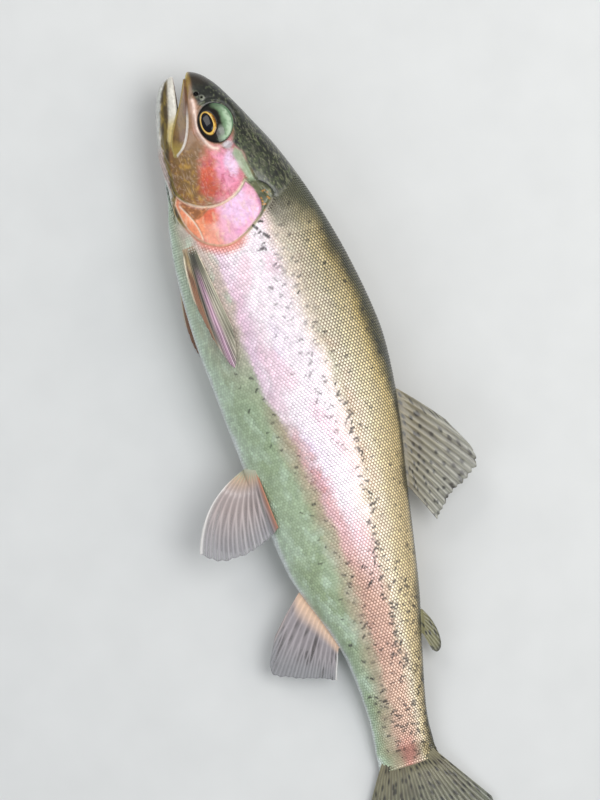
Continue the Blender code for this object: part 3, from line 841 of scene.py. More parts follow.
def trunk_paint(a, u):
    """(middle, rim) colours of the scales on the trunk. `u` is carried on round the body."""
    low, high = reading(BAND_LOW, a), reading(BAND_HIGH, a)
    back, belly = around(a, reading(BACK, a), 0.0), around(a, reading(BELLY, a), 0.0)
    v = u + (5 * sway(a, u, 17, 5) + 3 * sway(a, u, 5, 6))
    middle, rim = belly_paint(a, u, v, low, belly)
    in_band = ease(low - 3, low + 3, v) * ease(high + 5, high - 5, v)
    above = ease(high - 5, high + 5, v)
    band, band_rim = band_paint(a, u, v, low, high)
    gold, grain = back_paint(a, u, v, high, back)
    middle = blend(blend(middle, band, in_band), gold, above)
    rim = blend(blend(rim, band_rim, in_band), grain, above)
    nape = ease(124, 90, a - 0.25 * (u - 30) + 8 * sway(a, u, 7, 69)) * ease(18, 25, u)
    beside_cover = line_distance(a, u, COVER_LINE)[0]
    glow = ease(7, 1.5, beside_cover) * ease(8, -2, u) * ease(-32, -26, u) * (a > 90)
    middle = layered(middle, [
        ((84, 88, 58), 0.94 * nape),
        ((240, 158, 142), 0.85 * glow),
    ])
    rim = layered(rim, [
        ((20, 22, 12), nape),
        ((204, 104, 88), 0.85 * glow),
    ])
    fleck = (0.88 + 0.24 * noise(a, u, 2.3, 14))[:, None]
    return middle * fleck, rim * fleck


def cheek_paint(a, u, coarse):
    """The face behind the eye: brown-gold in front and below, red in the middle, pink above, a painted
    highlight.
    """
    violet = oval(a, u, (70, 0), (16, 13))
    away = beyond_cheek(a, u)
    ragged = 0.5 * (coarse - 0.5) + 0.35 * sway(a, u, 2.2, 37)
    streak = noise((a - 40) * 0.35, u + 0.3 * a, 1.6, 38)
    return layered(plain(a, (142, 106, 66)), [
        ((104, 80, 44), 0.6 * cloud(0.4, 0.8, a, u, 2.4, 39) * ease(68, 50, a)),
        ((212, 118, 104), ease(1.4, 0.7, oval(a, u, (70, -1), (16, 11)) + ragged)),
        ((192, 76, 40), 0.9 * ease(1.3, 0.5, oval(a, u, (75, -10), (8, 7)) + ragged)),
        ((216, 88, 52), 0.8 * ease(1.2, 0.5, oval(a, u, (67, -7), (7, 5)) + ragged)),
        ((246, 158, 190), ease(1.3, 0.6, oval(a, u, (68, 4), (14, 7)) + ragged)),
        # painted highlight: a lavender-white patch high on the cheek
        ((238, 208, 240), 0.85 * ease(1.3, 0.5, oval(a, u, (65, 9), (9, 5)) + ragged)),
        ((196, 78, 104), 0.6 * ease(0.55, 0.85, streak) * ease(1.4, 0.7, violet)),
        ((236, 132, 160), 0.7 * bump(away + 2.5, 2.6) * ease(-12, -4, u)),
        ((190, 96, 60), 0.6 * bump(away + 2.5, 2.8) * ease(-12, -18, u)),
        ((124, 94, 48), 0.8 * ease(-9, -17, u + 0.2 * (a - 60) + 5 * ragged)),
        ((206, 160, 70), 0.55 * cloud(0.55, 0.9, a, u, 1.7, 40) * ease(-10, -18, u)),
        ((136, 96, 62), 0.7 * ease(56, 44, a)),
        ((112, 48, 40), 0.24 * veins(a, u, 2.6, 45) * ease(46, 54, a)),
        ((250, 222, 204), 0.2 * veins(a, u, 1.9, 47) * ease(46, 54, a)),
    ])


def gill_paint(a, u, cover, fine, coarse):
    """The gill cover: pink-violet plate with a painted highlight, orange below, an olive flap above and
    behind.
    """
    ragged = 0.5 * (coarse - 0.5) + 0.3 * sway(a, u, 2.4, 42)
    lowest = ease(0.8, -0.8, region(a, u, INTEROPERCLE_PLATE))
    gill = layered(plain(a, (248, 184, 208)), [
        ((240, 160, 212), 0.6 * cloud(0.5, 0.8, a, u, 4.5, 76) * ease(-8, 0, u)),
        # painted highlight: a pale lavender patch on the upper plate
        ((251, 212, 248), 0.85 * ease(1.25, 0.45, oval(a, u, (93, 4), (13, 11)) + ragged)),
        ((248, 166, 140), 0.95 * ease(-7, -15, u + 6 * ragged)),
        ((244, 148, 98), 0.8 * ease(-14, -20, u + 6 * ragged) * ease(108, 98, a)),
        ((230, 100, 58), 0.85 * ease(1.25, 0.4, oval(a, u, (91, -14), (7, 6)) + ragged)),
        ((250, 214, 184), 0.45 * cloud(0.62, 0.85, a * 0.3, u + 0.2 * a, 1.3, 43)),
        ((176, 70, 100), 0.2 * veins(a, u, 2.8, 49)),
        ((158, 100, 58), lowest),
        ((216, 146, 90), 0.6 * ease(0.55, 0.8, fine) * lowest),
        ((104, 84, 62), 0.7 * ease(-1.9, -1.3, cover) * ease(-2, 8, u)),
    ])
    margin = blend(linear(250, 206, 170), linear(176, 168, 132), ease(-6, 8, u))
    gill = blend(gill, margin, 0.95 * ease(-1.2, -0.8, cover))
    return lay(gill, (206, 96, 70), 0.8 * ease(-0.3, 0.3, cover) * ease(10, 0, u))


def flap_paint(a, u, fine):
    """The olive flap over the upper end of the gill opening, with rusty flecks."""
    rusty = ease(0.9, 0.3, dots(a, u, 2.2, 33, 0.5)) * ease(84, 88, a) * cloud(0.35, 0.6, a, u, 4, 67)
    return layered(plain(a, (100, 104, 72)), [
        ((62, 68, 42), 0.8 * cloud(0.4, 0.75, a, u, 3.2, 66)),
        ((160, 160, 124), 0.5 * ease(0.6, 0.9, fine)),
        ((214, 142, 50), 0.8 * rusty),
    ])


def crown_paint(a, u):
    """Snout, brow and nape: dark olive, blackish along the top, pale and dark specks, painted wet
    highlights.
    """
    top = reading(BACK, a) - u
    dark = layered(plain(a, (70, 80, 50)), [
        ((38, 44, 26), ease(18, 6, top + 5 * sway(a, u, 5.5, 32))),
        ((24, 27, 16), ease(4, -8, top)),
        ((20, 24, 16), 0.85 * ease(34, 26, a)),
        # painted highlight: pale grey-green wet streaks
        ((108, 120, 80), 0.6 * cloud(0.5, 0.85, a * 0.5, u, 1.3, 51) * ease(30, 48, a)),
        ((96, 108, 80), 0.6 * ease(10, 18, top) * ease(66, 48, a) * ease(38, 46, a)),
        ((160, 168, 130), 0.55 * ease(0.45, 0.2, dots(a * 0.6, u, 1.5, 34, 0.5)) * ease(30, 46, a)),
        ((8, 9, 5), 0.9 * ease(0.75, 0.35, dots(a * 0.6, u, 1.5, 35, 0.6))),
        ((10, 10, 7), 0.85 * ease(1.5, 0.9, dots(a, u, 7.0, 58, 0.7)) * ease(24, 40, a)),
        ((60, 44, 26), 0.7 * ease(16, 6, a)),
        # painted highlight: pale thin wet streaks
        ((176, 174, 156), 0.36 * cloud(0.62, 0.8, a * 0.3, u, 0.8, 80) * ease(26, 40, a)),
        ((8, 9, 5), 0.5 * cloud(0.62, 0.8, a * 0.35, u, 0.8, 81) * ease(20, 34, a)),
        ((128, 136, 110), 0.6 * cloud(0.6, 0.8, a, u, 1.4, 44) * ease(10, 18, a) * ease(36, 26, a)),
    ])
    return dark * (0.74, 0.74, 0.62)


def maxilla_paint(a, u, share, blade, coarse):
    """The jaw blade: horn brown, gold at its end, a painted golden highlight along its lower edge, pale
    on its upper edge.
    """
    above = over(a, u, maxilla_line())
    return layered(plain(a, (116, 84, 26)), [
        ((96, 56, 36), 0.8 * ease(0.35, 0.7, coarse) * ease(-1, 1, above)),
        ((62, 44, 16), 0.5 * veins(a * 0.5, u + 0.4 * a, 2.0, 53)),
        ((172, 150, 70), 0.7 * ease(0.8, 0.95, share)),
        ((222, 218, 214), 0.8 * ease(-1.3, -0.5, blade) * ease(0, 0.6, above) * ease(0.3, 0.6, share)),
        # painted highlight: golden along the blade's lower edge
        ((190, 166, 84), 0.8 * ease(-1.2, -0.4, blade) * ease(0, -0.6, above)),
    ])


def throat_paint(a, o):
    """The underside of the head: pale, with pinkish rayed membranes and painted shade in the slit beside
    the keel.
    """
    off = throat_slit(a, o)
    behind = ease(38, 48, a)
    between = 0.5 - 0.5 * throat_wave(off)
    specks = ease(0.5, 0.2, dots(a, o, 1.6, 64, 0.5)) * cloud(0.3, 0.7, a, o, 8, 68)
    return layered(plain(a, (214, 216, 208)), [
        ((234, 230, 220), cloud(0.35, 0.75, a, o, 7, 63)),
        ((190, 192, 188), 0.6 * ease(0.55, 0.35, np.abs(o) / reading(HALF_WIDTH, a)) * (1 - behind)),
        ((206, 178, 172), 0.7 * behind * ease(0, 2, off)),
        ((150, 122, 116), 0.7 * between * behind * ease(0.6, 1.4, off) * ease(14, 11, off)),
        # painted shade in the slit beside the keel
        ((92, 58, 54), 0.9 * bump(off, 0.5) * behind),
        ((112, 112, 104), 0.6 * specks),
    ])


def jaw_paint(a, u, o):
    """The lower jaw and throat: a white lip, a brown-gold side, pale underneath."""
    lip = over(a, u, LIP_LINE)
    over_belly = u - reading(BELLY, a)
    jaw = layered(plain(a, (112, 94, 34)), [
        ((60, 44, 16), 0.85 * cloud(0.4, 0.7, a * 0.25, lip, 1.3, 36)),
        ((176, 150, 66), 0.5 * cloud(0.55, 0.8, a * 0.3, u, 1.2, 55)),
        ((226, 222, 210), ease(-0.9, 0.9, lip) * ease(46, 36, a)),
        ((216, 192, 108), 0.85 * ease(-1.4, 1.0, lip) * ease(24, 34, a) * ease(60, 46, a)),
    ])
    ridge, weight = throat_folds(a, u)
    fold = blend(linear(140, 104, 62), linear(226, 204, 156), ridge**1.5)
    jaw = blend(jaw, fold, 0.8 * weight * ease(2.0, 5.0, over_belly))
    edge = over_belly + 1.4 * sway(a, u, 2.2, 65)
    return blend(jaw, throat_paint(a, o), ease(4.4, 2.6, edge))


def face_paint(a, u, fine, coarse, cover, plate):
    """Cheek and gill cover with strokes along their borders, painted shade in the cheek's rear groove,
    and the upper lip.
    """
    away = beyond_cheek(a, u)
    colour = cheek_paint(a, u, coarse)
    colour = blend(colour, gill_paint(a, u, cover, fine, coarse), plate)
    for line, shade, width, strength in HEAD_STROKES:
        off, share = line_distance(a, u, line)
        faded = ease(0, 0.08, share) * ease(1, 0.92, share)
        colour = lay(colour, shade, strength * bump(off, width) * faded)
    # painted shade: a dark reddish line in the groove behind the cheek's border
    colour = lay(colour, (140, 60, 44), 0.6 * bump(away - 1.1, 0.5) * plate * ease(4, -12, u))
    over_gape = over(a, u, GAPE_TOP)
    lip_strip = ease(5.2, 3.6, over_gape) * ease(30, 24, a)
    colour = layered(colour, [
        ((142, 114, 50), lip_strip),
        ((206, 190, 104), 0.8 * lip_strip * ease(1.6, 0.6, over_gape)),
    ])
    return colour


def upper_paint(colour, a, u, carried, fine, coarse):
    """The crown, the olive flap with painted shade round it, and the pale bar of the brow laid over the
    face.
    """
    crown = over(a, u, CROWN_LINE) + 1.8 * (coarse - 0.5)
    colour = blend(colour, crown_paint(a, carried), ease(-1.0, 1.6, crown))
    flap = region(a, u, FLAP)
    colour = blend(colour, flap_paint(a, u, fine), ease(0.7, -0.7, flap + 0.8 * (coarse - 0.5)))
    # painted shade in the groove round the flap's edge
    colour = lay(colour, (26, 26, 20), 0.75 * bump(flap - 1.1, 0.7) * ease(15, 20, u))
    bar = region(a, u, BROW_BAR)
    colour = layered(colour, [
        ((150, 172, 140), 0.9 * ease(1.0, -1.0, bar)),
        ((190, 184, 192), 0.85 * ease(1.1, 0.5, oval(a, u, (53.5, 9.5), (3.0, 3.6)))),
    ])
    return colour


def lower_paint(colour, a, u, o, plate, coarse):
    """The lower jaw, the throat and the maxilla laid over the face."""
    under = ease(1.0, -1.0, over(a, u, JAW_LINE))
    throat = ease(56, 64, a) * ease(0.3, -0.3, over(a, u, CHEEK_FOOT[::-1]) - 0.3)
    under = np.maximum(under, np.where(a < 79, throat, ease(-24, -27, u))) * (1 - plate)
    colour = blend(colour, jaw_paint(a, u, o), under)
    blade_off, share = line_distance(a, u, maxilla_line())
    blade = blade_off - reading(MAXILLA_HALF_BREADTH, share)
    on_blade = ease(0.7, 0.0, blade) * ease(2, 5, a)
    colour = blend(colour, maxilla_paint(a, u, share, blade, coarse), on_blade)
    return colour


def openings_paint(colour, a, u):
    """The nostrils, with painted shade in their pits, and painted shade round the eye, laid over the
    face.
    """
    front, rear = NOSTRILS
    return layered(colour, [
        # painted shade in the front nostril's pit
        ((12, 9, 7), ease(2.1, 1.3, np.hypot(a - front[0], u - front[1]))),
        ((146, 150, 132), 0.85 * ease(2.1, 0.9, np.hypot(a - rear[0] - 0.4, u - rear[1] - 0.3))),
        # painted shade in the rear nostril's pit
        ((20, 16, 12), ease(1.0, 0.5, np.hypot(a - rear[0], u - rear[1]))),
        # painted shade in the gap between the skin and the eyeball, lighter above
        ((20, 18, 16), ease(1.13, 1.02, orbit(a, u)) * mix(1, 0.35, ease(8, 14, u))),
    ])


def head_paint(a, u, o, carried):
    """Colours of the head and the gill covers."""
    fine, coarse = noise(a, u, 1.3, 31), noise(a, u, 5.5, 32)
    cover = region(a, u, COVER_OUTLINE)
    plate = np.maximum(ease(0.6, -0.6, cover), ease(92, 97, a))
    colour = face_paint(a, u, fine, coarse, cover, plate)
    colour = upper_paint(colour, a, u, carried, fine, coarse)
    colour = lower_paint(colour, a, u, o, plate, coarse)
    return openings_paint(colour, a, u) * (0.76 + 0.26 * fine[:, None])


def skin_paint(a, u, o):
    """Colours anywhere on the skin, the same as the scales' over it."""
    carried = around(a, u, o)
    middle, rim = trunk_paint(a, carried)
    on_head = ease(1.2, -1.2, head_border(a, u, o, region(a, u, HEAD_REAR)) - 0.8)
    colour = blend(mix(middle, rim, 0.5), head_paint(a, u, o, carried), on_head)
    dark = np.where(o > 0, black_marks(a, carried, 1), black_marks(a, carried, -1))
    return lay(colour, (16, 13, 10), 0.95 * dark)


# ---------------------------------------------------------------- materials

def material(name):
    """A new material, its nodes and its links."""
    made = bpy.data.materials.new(name)
    made.use_nodes = True
    return made, made.node_tree.nodes, made.node_tree.links


def fill(node, values):
    """Sets inputs of a node by their names."""
    for word, value in values.items():
        node.inputs[word].default_value = value


def textured(nodes, links, kind, values):
    """A texture node in the object's own coordinates."""
    texture = nodes.new(kind)
    fill(texture, values)
    links.new(nodes.new("ShaderNodeTexCoord").outputs["Object"], texture.inputs["Vector"])
    return texture


def ranged(nodes, links, source, low, high):
    """A 0 to 1 output brought between two values."""
    node = nodes.new("ShaderNodeMapRange")
    fill(node, {"To Min": low, "To Max": high})
    links.new(source, node.inputs["Value"])
    return node.outputs["Result"]


def stored(nodes, word):
    """A node that reads an attribute of the mesh."""
    node = nodes.new("ShaderNodeAttribute")
    node.attribute_name = word
    return node


def painted(name, roughness, relief, grain_scale, coat, coat_roughness, mottle=0.12, shine=None,
            clear=None, specular=0.5):
    """A wet skin material: the painted colour, mottled, with fine relief under a clear coat."""
    made, nodes, links = material(name)
    shader = nodes["Principled BSDF"]
    grain = textured(nodes, links, "ShaderNodeTexNoise",
                     {"Scale": grain_scale, "Detail": 4.0, "Roughness": 0.6})
    shade = nodes.new("ShaderNodeMix")
    shade.data_type = "RGBA"
    shade.blend_type = "MULTIPLY"
    fill(shade, {"Factor": 1.0})
    links.new(stored(nodes, "hue").outputs["Color"], shade.inputs[6])
    links.new(ranged(nodes, links, grain.outputs["Fac"], 1 - mottle, 1 + mottle), shade.inputs[7])
    links.new(shade.outputs[2], shader.inputs["Base Color"])
    links.new(ranged(nodes, links, grain.outputs["Fac"], *roughness), shader.inputs["Roughness"])
    pores = textured(nodes, links, "ShaderNodeTexVoronoi", {"Scale": grain_scale * 1.7})
    height = nodes.new("ShaderNodeMath")
    height.operation = "ADD"
    links.new(grain.outputs["Fac"], height.inputs[0])
    links.new(pores.outputs["Distance"], height.inputs[1])
    relief_node = nodes.new("ShaderNodeBump")
    fill(relief_node, {"Strength": relief, "Distance": 0.0002})
    links.new(height.outputs["Value"], relief_node.inputs["Height"])
    links.new(relief_node.outputs["Normal"], shader.inputs["Normal"])
    fill(shader, {"Coat Weight": coat, "Coat Roughness": coat_roughness, "Specular IOR Level": specular})
    if shine:
        gleam = ranged(nodes, links, stored(nodes, "shine").outputs["Fac"], *shine)
        links.new(gleam, shader.inputs["Metallic"])
    if clear:
        thin = ranged(nodes, links, stored(nodes, "clear").outputs["Fac"], *clear)
        links.new(thin, shader.inputs["Alpha"])
    return made


# ---------------------------------------------------------------- pieces

def read_back(items, word, kind):
    """The three numbers of that name of each item of a mesh."""
    values = np.empty(len(items) * 3, kind)
    items.foreach_get(word, values)
    return values.reshape(-1, 3)


def body_skin(skin_material):
    """The whole skin as one piece, with the inside of the mouth in its own colours and painted shade
    deeper in.
    """
    points, quads, triangles = skin_points()
    split = np.vstack([quads[:, [0, 1, 2]], quads[:, [0, 2, 3]], triangles])
    obj = linked("raw_skin", fast_mesh("raw_skin", points, split))
    lighter = obj.modifiers.new("lighter", "DECIMATE")
    lighter.ratio = min(1.0, SKIN_TRIANGLES / len(split))
    made = obj.evaluated_get(bpy.context.evaluated_depsgraph_get()).to_mesh()
    made.calc_loop_triangles()
    a, u, o = read_back(made.vertices, "co", np.float32).astype(float).T
    faces = read_back(made.loop_triangles, "vertices", np.int32)
    bpy.data.objects.remove(obj)
    inside = ease(0.86, 0.76, body_depth(a, u, o)) * ease(58, 50, a) * ease(9, 12, orbit(a, u) * 10)
    hue = skin_paint(a, u, o)
    hue = layered(hue, [
        ((150, 96, 88), inside),
        # painted shade: darker deeper in the mouth
        ((60, 30, 28), inside * ease(10, 32, a)),
    ])
    mesh = fast_mesh("trout_skin", place(a, u, o), faces, {"hue": hue})
    piece("trout_skin", mesh, skin_material,
          ("head", "lower_jaw", "maxilla_left", "maxilla_right", "gill_cover_left", "gill_cover_right",
           "trunk_front", "trunk_rear", "tail"))


def scale_roots(side):
    """Where each scale of a flank is rooted: (along, turn round the body, size, share round, pored).

    The pored scales are those of the lateral line. Those on the two midlines belong to the left flank.
    """
    found = []
    at, odd = FIRST_SCALES, 0
    turns = np.linspace(0.0, np.pi, 600)
    while at < TAIL_END - 0.5:
        size = 1 - 0.16 * ease(125, 95, at) - 0.2 * ease(380, 456, at)
        up, out = girth(np.full(len(turns), at), turns)
        arc = np.concatenate([[0], np.cumsum(np.hypot(np.diff(up), np.diff(out)))])
        start = np.interp(-float(reading(LATERAL, at)), -up, arc)
        pitch = SCALE_PITCH * size
        first = math.ceil((0.2 * pitch - start) / pitch - 0.5 * odd)
        index = np.arange(first, first + MOST_ROWS) + 0.5 * odd
        rows = start + index * pitch
        kept = rows < arc[-1] - 0.1 * pitch
        rows, pored = rows[kept], (index[kept] == 0) & (at > PORED_FROM)
        if side > 0:
            rows, pored = np.r_[0.0, rows, arc[-1]], np.r_[False, pored, False]
        turn = np.interp(rows, arc, turns)
        found.append(np.stack([np.full(len(rows), at), turn, np.full(len(rows), size), rows / arc[-1],
                               pored], 1))
        at += SCALE_STEP * size
        odd = 1 - odd
    return np.vstack(found)


def round_body(a, turn):
    """Fish points on the body by distance from the snout and turn round it."""
    return np.stack([a, *girth(a, turn)], 1)


def scale_axes(a, turn):
    """(root, direction across, direction to the rear, direction out) of each scale."""
    here = round_body(a, turn)
    across = round_body(a, turn + 1e-3) - here
    back = round_body(a + 0.5, turn) - here
    across = unit(across)
    normal = unit(np.cross(across, back))
    outward = (here[:, 1] - reading(WIDEST_LEVEL, a)) * normal[:, 1] + here[:, 2] * normal[:, 2]
    normal *= np.sign(outward)[:, None]
    back = np.cross(across, normal) * np.sign(outward)[:, None]
    return here, across, back * np.sign(back[:, 0])[:, None], normal


def scale_shape():
    """The points of one scale: (back, across, height, share across, share of the rim's colour)."""
    shapes = []
    for run, half, height, rim_share in SCALE_PROFILE:
        for v in np.linspace(-1, 1, SCALE_COLUMNS):
            edge = min(1.0, rim_share + 0.55 * abs(v) + 0.6 * abs(v) ** 3)
            shapes.append((run * (1 - 0.12 * v * v), half * v, height - 0.18 * v * v * half, v, edge))
    return np.array(shapes)


def map_scales(mesh, faces, shapes, a, across):
    """Lays the scales out flat in the map OFBake, each round its own place on the flank."""
    spread = np.stack([shapes[:, 0] / 2.0, shapes[:, 3]], 1) * MAP_REACH
    root = np.stack([0.02 + 0.96 * a / STANDARD_LENGTH, across], 1)
    uv = (root[:, None, :] + spread[None]).reshape(-1, 2)
    layer = mesh.uv_layers.new(name="OFBake")
    layer.data.foreach_set("uv", uv[faces.ravel()].astype(np.float32).ravel())


def scale_coat(name, side, first, last, coat_material):
    """The scales of one flank between two places: domed caps, rooted in front and free behind."""
    roots = scale_roots(side)
    roots = roots[(roots[:, 0] >= first) & (roots[:, 0] < last)]
    a, turn, size, share, pored = roots.T
    up, out = girth(a, turn)
    ragged = 4.0 * np.maximum(noise(a, around(a, up, out), 4.0, 41) - 0.4, 0) * (np.abs(up) > 24)
    keep = head_border(a, up, out, region(a, up, HEAD_REAR)) > 0.6 + ragged
    a, turn, size, share, pored, up, out = (x[keep] for x in (a, turn, size, share, pored, up, out))
    here, across, back, normal = scale_axes(a, turn)

    rng = np.random.default_rng(int(first) + (3 if side > 0 else 7))
    grow = size * rng.uniform(0.94, 1.06, len(a))
    lift = rng.uniform(-0.03, 0.03, len(a))
    turned = rng.uniform(-0.07, 0.07, len(a))
    shapes = scale_shape()
    x = shapes[None, :, 0] * grow[:, None]
    y = shapes[None, :, 1] * grow[:, None]
    x, y = x - y * turned[:, None], y + x * turned[:, None]
    tube = bump(shapes[:, 3], 0.35) * ease(-0.5, 0.3, shapes[:, 0]) * ease(1.4, 1.0, shapes[:, 0])
    z = shapes[None, :, 2] + lift[:, None] - COAT_DEPTH + 0.16 * pored[:, None] * tube[None]
    where = (here[:, None, :] + back[:, None, :] * x[..., None] + across[:, None, :] * y[..., None]
             + normal[:, None, :] * z[..., None])
    where[..., 2] = np.maximum(where[..., 2], 0.0) * side
    one = sheet_faces(len(SCALE_PROFILE), SCALE_COLUMNS)[:, ::side]
    faces = (one[None] + (np.arange(len(a)) * len(shapes))[:, None, None]).reshape(-1, 4)
    flat = where.reshape(-1, 3)

    middle, rim = trunk_paint(a, around(a, up, out))
    hue = mix(middle[:, None, :], rim[:, None, :], shapes[None, :, 4, None]).reshape(-1, 3)
    hue = hue * (0.88 + 0.24 * rng.random(len(a))).repeat(len(shapes))[:, None]
    pores = (pored[:, None] * bump(shapes[:, 3], 0.3) * bump(shapes[:, 0] - 0.85, 0.4)).ravel()
    carried = around(flat[:, 0], flat[:, 1], np.abs(flat[:, 2]))
    hue = layered(hue, [
        ((92, 66, 66), 0.6 * pores),
        ((18, 14, 10), 0.95 * black_marks(flat[:, 0], carried, side)),
    ])
    high, low = reading(BAND_HIGH, a), reading(BAND_LOW, a)
    shine = mix(0.35, 1.0, ease(low - 8, low + 6, up)) * mix(1.0, 0.7, ease(high, high + 20, up))
    mesh = fast_mesh(name, place(*flat.T), faces, {"hue": hue, "shine": shine.repeat(len(shapes))})
    map_scales(mesh, faces, shapes, a, 0.5 + side * (0.01 + 0.48 * share))
    piece(name, mesh, coat_material)


def body_coats(coat_material):
    """The scales of both flanks, in lengths that each stay under the limit of triangles."""
    for side, word in FLANKS:
        for k, (first, last) in enumerate(COAT_LENGTHS):
            scale_coat("scales_%s_%d" % (word, k + 1), side, first, last, coat_material)


# ---------------------------------------------------------------- fins

GAP = 0.3                      # how far outside the body the free part of a fin starts
ROOT_SINKS = 40.0              # mm that a fin's root dives into the body, for each share of its length
BRANCH_FROM = 0.4              # share of a fin's length where its rays start to branch
POINTS_PER_RAY = 7
POINTS_ALONG = 56
# A fin of the back or belly: (place of its first and last ray, their turns in degrees, lengths
# by share across).
DORSAL = ((229, 290), (44, 26), [(0, 34), (0.12, 54), (0.3, 52), (0.6, 38), (1, 25)])
ADIPOSE = ((366, 381), (42, 14), [(0, 1), (0.12, 7), (0.35, 13.5), (0.6, 17), (0.85, 15.5), (1, 11)])
ANAL = ((333, 374), (50, 22), [(0, 30), (0.12, 46), (0.35, 41), (0.7, 28), (1, 19)])
CAUDAL_SPREAD = 33
CAUDAL_LENGTHS = [(0, 44), (0.1, 66), (0.3, 58), (0.5, 49), (0.7, 57), (0.9, 63), (1, 42)]
# A paired fin: (side, root, turns of its first and last ray, lengths, how far out its tip lies, arch).
PAIRED = {
    "pectoral_fin_left": (1, (107, -33), (8, -5),
                          [(0, 56), (0.18, 70), (0.38, 80), (0.55, 70), (0.8, 48), (1, 30)], 29, 0.03),
    "pectoral_fin_right": (-1, (111, -36), (0, -15), [(0, 73), (0.3, 71), (0.7, 60), (1, 42)], 28, 0.05),
    "pelvic_fin_left": (1, (250, -38.5), (4, -45), [(0, 38), (0.4, 50), (0.75, 59), (1, 60)], 9, 0.13),
    "pelvic_fin_right": (-1, (250, -38.5), (0, -38), [(0, 36), (0.4, 48), (0.75, 55), (1, 54)], 24, 0.1),
}
PAIRED_BREADTH = 7.5           # of the root of a paired fin
CLEARANCE = 0.9                # between a paired fin and the body
FLOOR_CLEARANCE = 0.6          # between a paired fin of the resting side and the floor
ROOT_DEPTH = 0.9               # how deep a paired fin's root starts inside the body
ROOT_STANDS_OUT = 1.4          # where it leaves the body again
MEMBRANE = (0.17, 0.09)        # half the thickness of the membrane at root and tip


def median_surface(line, side, bases, turns, lengths):
    """The middle surface of a fin on the back or belly, by share across and part of the way out."""
    def surface(share, t):
        at = mix(bases[0], bases[1], share)
        turn = np.radians(mix(turns[0], turns[1], share))
        reach = reading(lengths, share) * np.maximum(t, 0)
        sunk = ROOT_SINKS * np.minimum(t, 0)
        a = at + reach * np.cos(turn) + 0.10 * reach * t
        u = reading(line, at) + side * (GAP + reach * np.sin(turn) + sunk)
        return a, u, np.zeros_like(a)
    return surface


def tail_surface(share, t):
    """The middle surface of the tail fin, which spreads from the whole height of the tail."""
    back, belly = reading(BACK, STANDARD_LENGTH), reading(BELLY, STANDARD_LENGTH)
    root = mix(back - GAP, belly + GAP, share)
    turn = np.radians(mix(CAUDAL_SPREAD, -CAUDAL_SPREAD, share))
    reach = reading(CAUDAL_LENGTHS, share) * t
    a = STANDARD_LENGTH + GAP + reach * np.cos(turn)
    return a, root + reach * np.sin(turn), np.zeros_like(a)


def paired_surface(name):
    """The middle surface of a pectoral or pelvic fin, from its root out to its free tip."""
    side, root, headings, lengths, tip_out, arch = PAIRED[name]

    def surface(share, t):
        turn = np.radians(mix(headings[0], headings[1], share))
        length = reading(lengths, share)
        reach = length * t
        away = PAIRED_BREADTH * (0.5 - share)
        middle = math.radians((headings[0] + headings[1]) / 2)
        bulge = arch * share * 4 * t * (1 - t) * length
        a = root[0] + reach * np.cos(turn) - away * math.sin(middle) + bulge * np.sin(turn)
        u = root[1] + reach * np.sin(turn) + away * math.cos(middle) - bulge * np.cos(turn)
        start = flank(*np.array(root, float)) + ROOT_STANDS_OUT
        body = flank(a, u)
        slope = (flank(a, u + 0.2) - flank(a, u - 0.2)) / 0.4
        clear = body + CLEARANCE * np.minimum(np.hypot(1, slope), 2.5)
        out = np.maximum(mix(start, tip_out, np.clip(t, 0, 1)), np.where(clear > 1.5, clear, -99))
        out = mix(body - ROOT_DEPTH, out, ease(-0.02, 0.32, t))
        if side < 0:
            out = np.minimum(out, reading(MID_HEIGHT, a) - FLOOR_CLEARANCE)
        return a, u, side * (out + 1.6 * ROOT_SINKS * np.minimum(t, 0))
    return surface


def ray_relief(share, t, out, place_in_ray, ray_height):
    """(1 on a ray and 0 between rays, half thickness) of a fin. Rays branch in two and have joints."""
    index = np.round(place_in_ray)
    split = 0.24 * ease(BRANCH_FROM, BRANCH_FROM + 0.35, t)
    apart = np.abs(np.abs(place_in_ray - index) - split)
    ray = bump(apart, mix(0.17, 0.11, ease(BRANCH_FROM, 1, t)))
    joints = 1 + 0.16 * np.sin(t * 150 + index * 2.0) * ease(0.2, 0.4, t)
    half = mix(*MEMBRANE, out) + ray * joints * mix(ray_height, 0.2 * ray_height, out)
    lead = np.maximum(bump(share, 0.02), 0.4 * bump(share - 1, 0.02))
    return ray, half + 0.3 * lead * mix(1, 0.2, out)


def closed_sheet(across, along):
    """Faces of two grids of points, one after the other, closed all round their margins."""
    count = across * along
    top = sheet_faces(across, along)
    grid = np.arange(count).reshape(across, along)
    rim = np.concatenate([grid[0, :], grid[1:, -1], grid[-1, -2::-1], grid[-2:0:-1, 0]])
    after = np.roll(rim, -1)
    edge = np.stack([rim, after, after + count, rim + count], 1)
    return np.vstack([top[:, ::-1], top + count, edge])


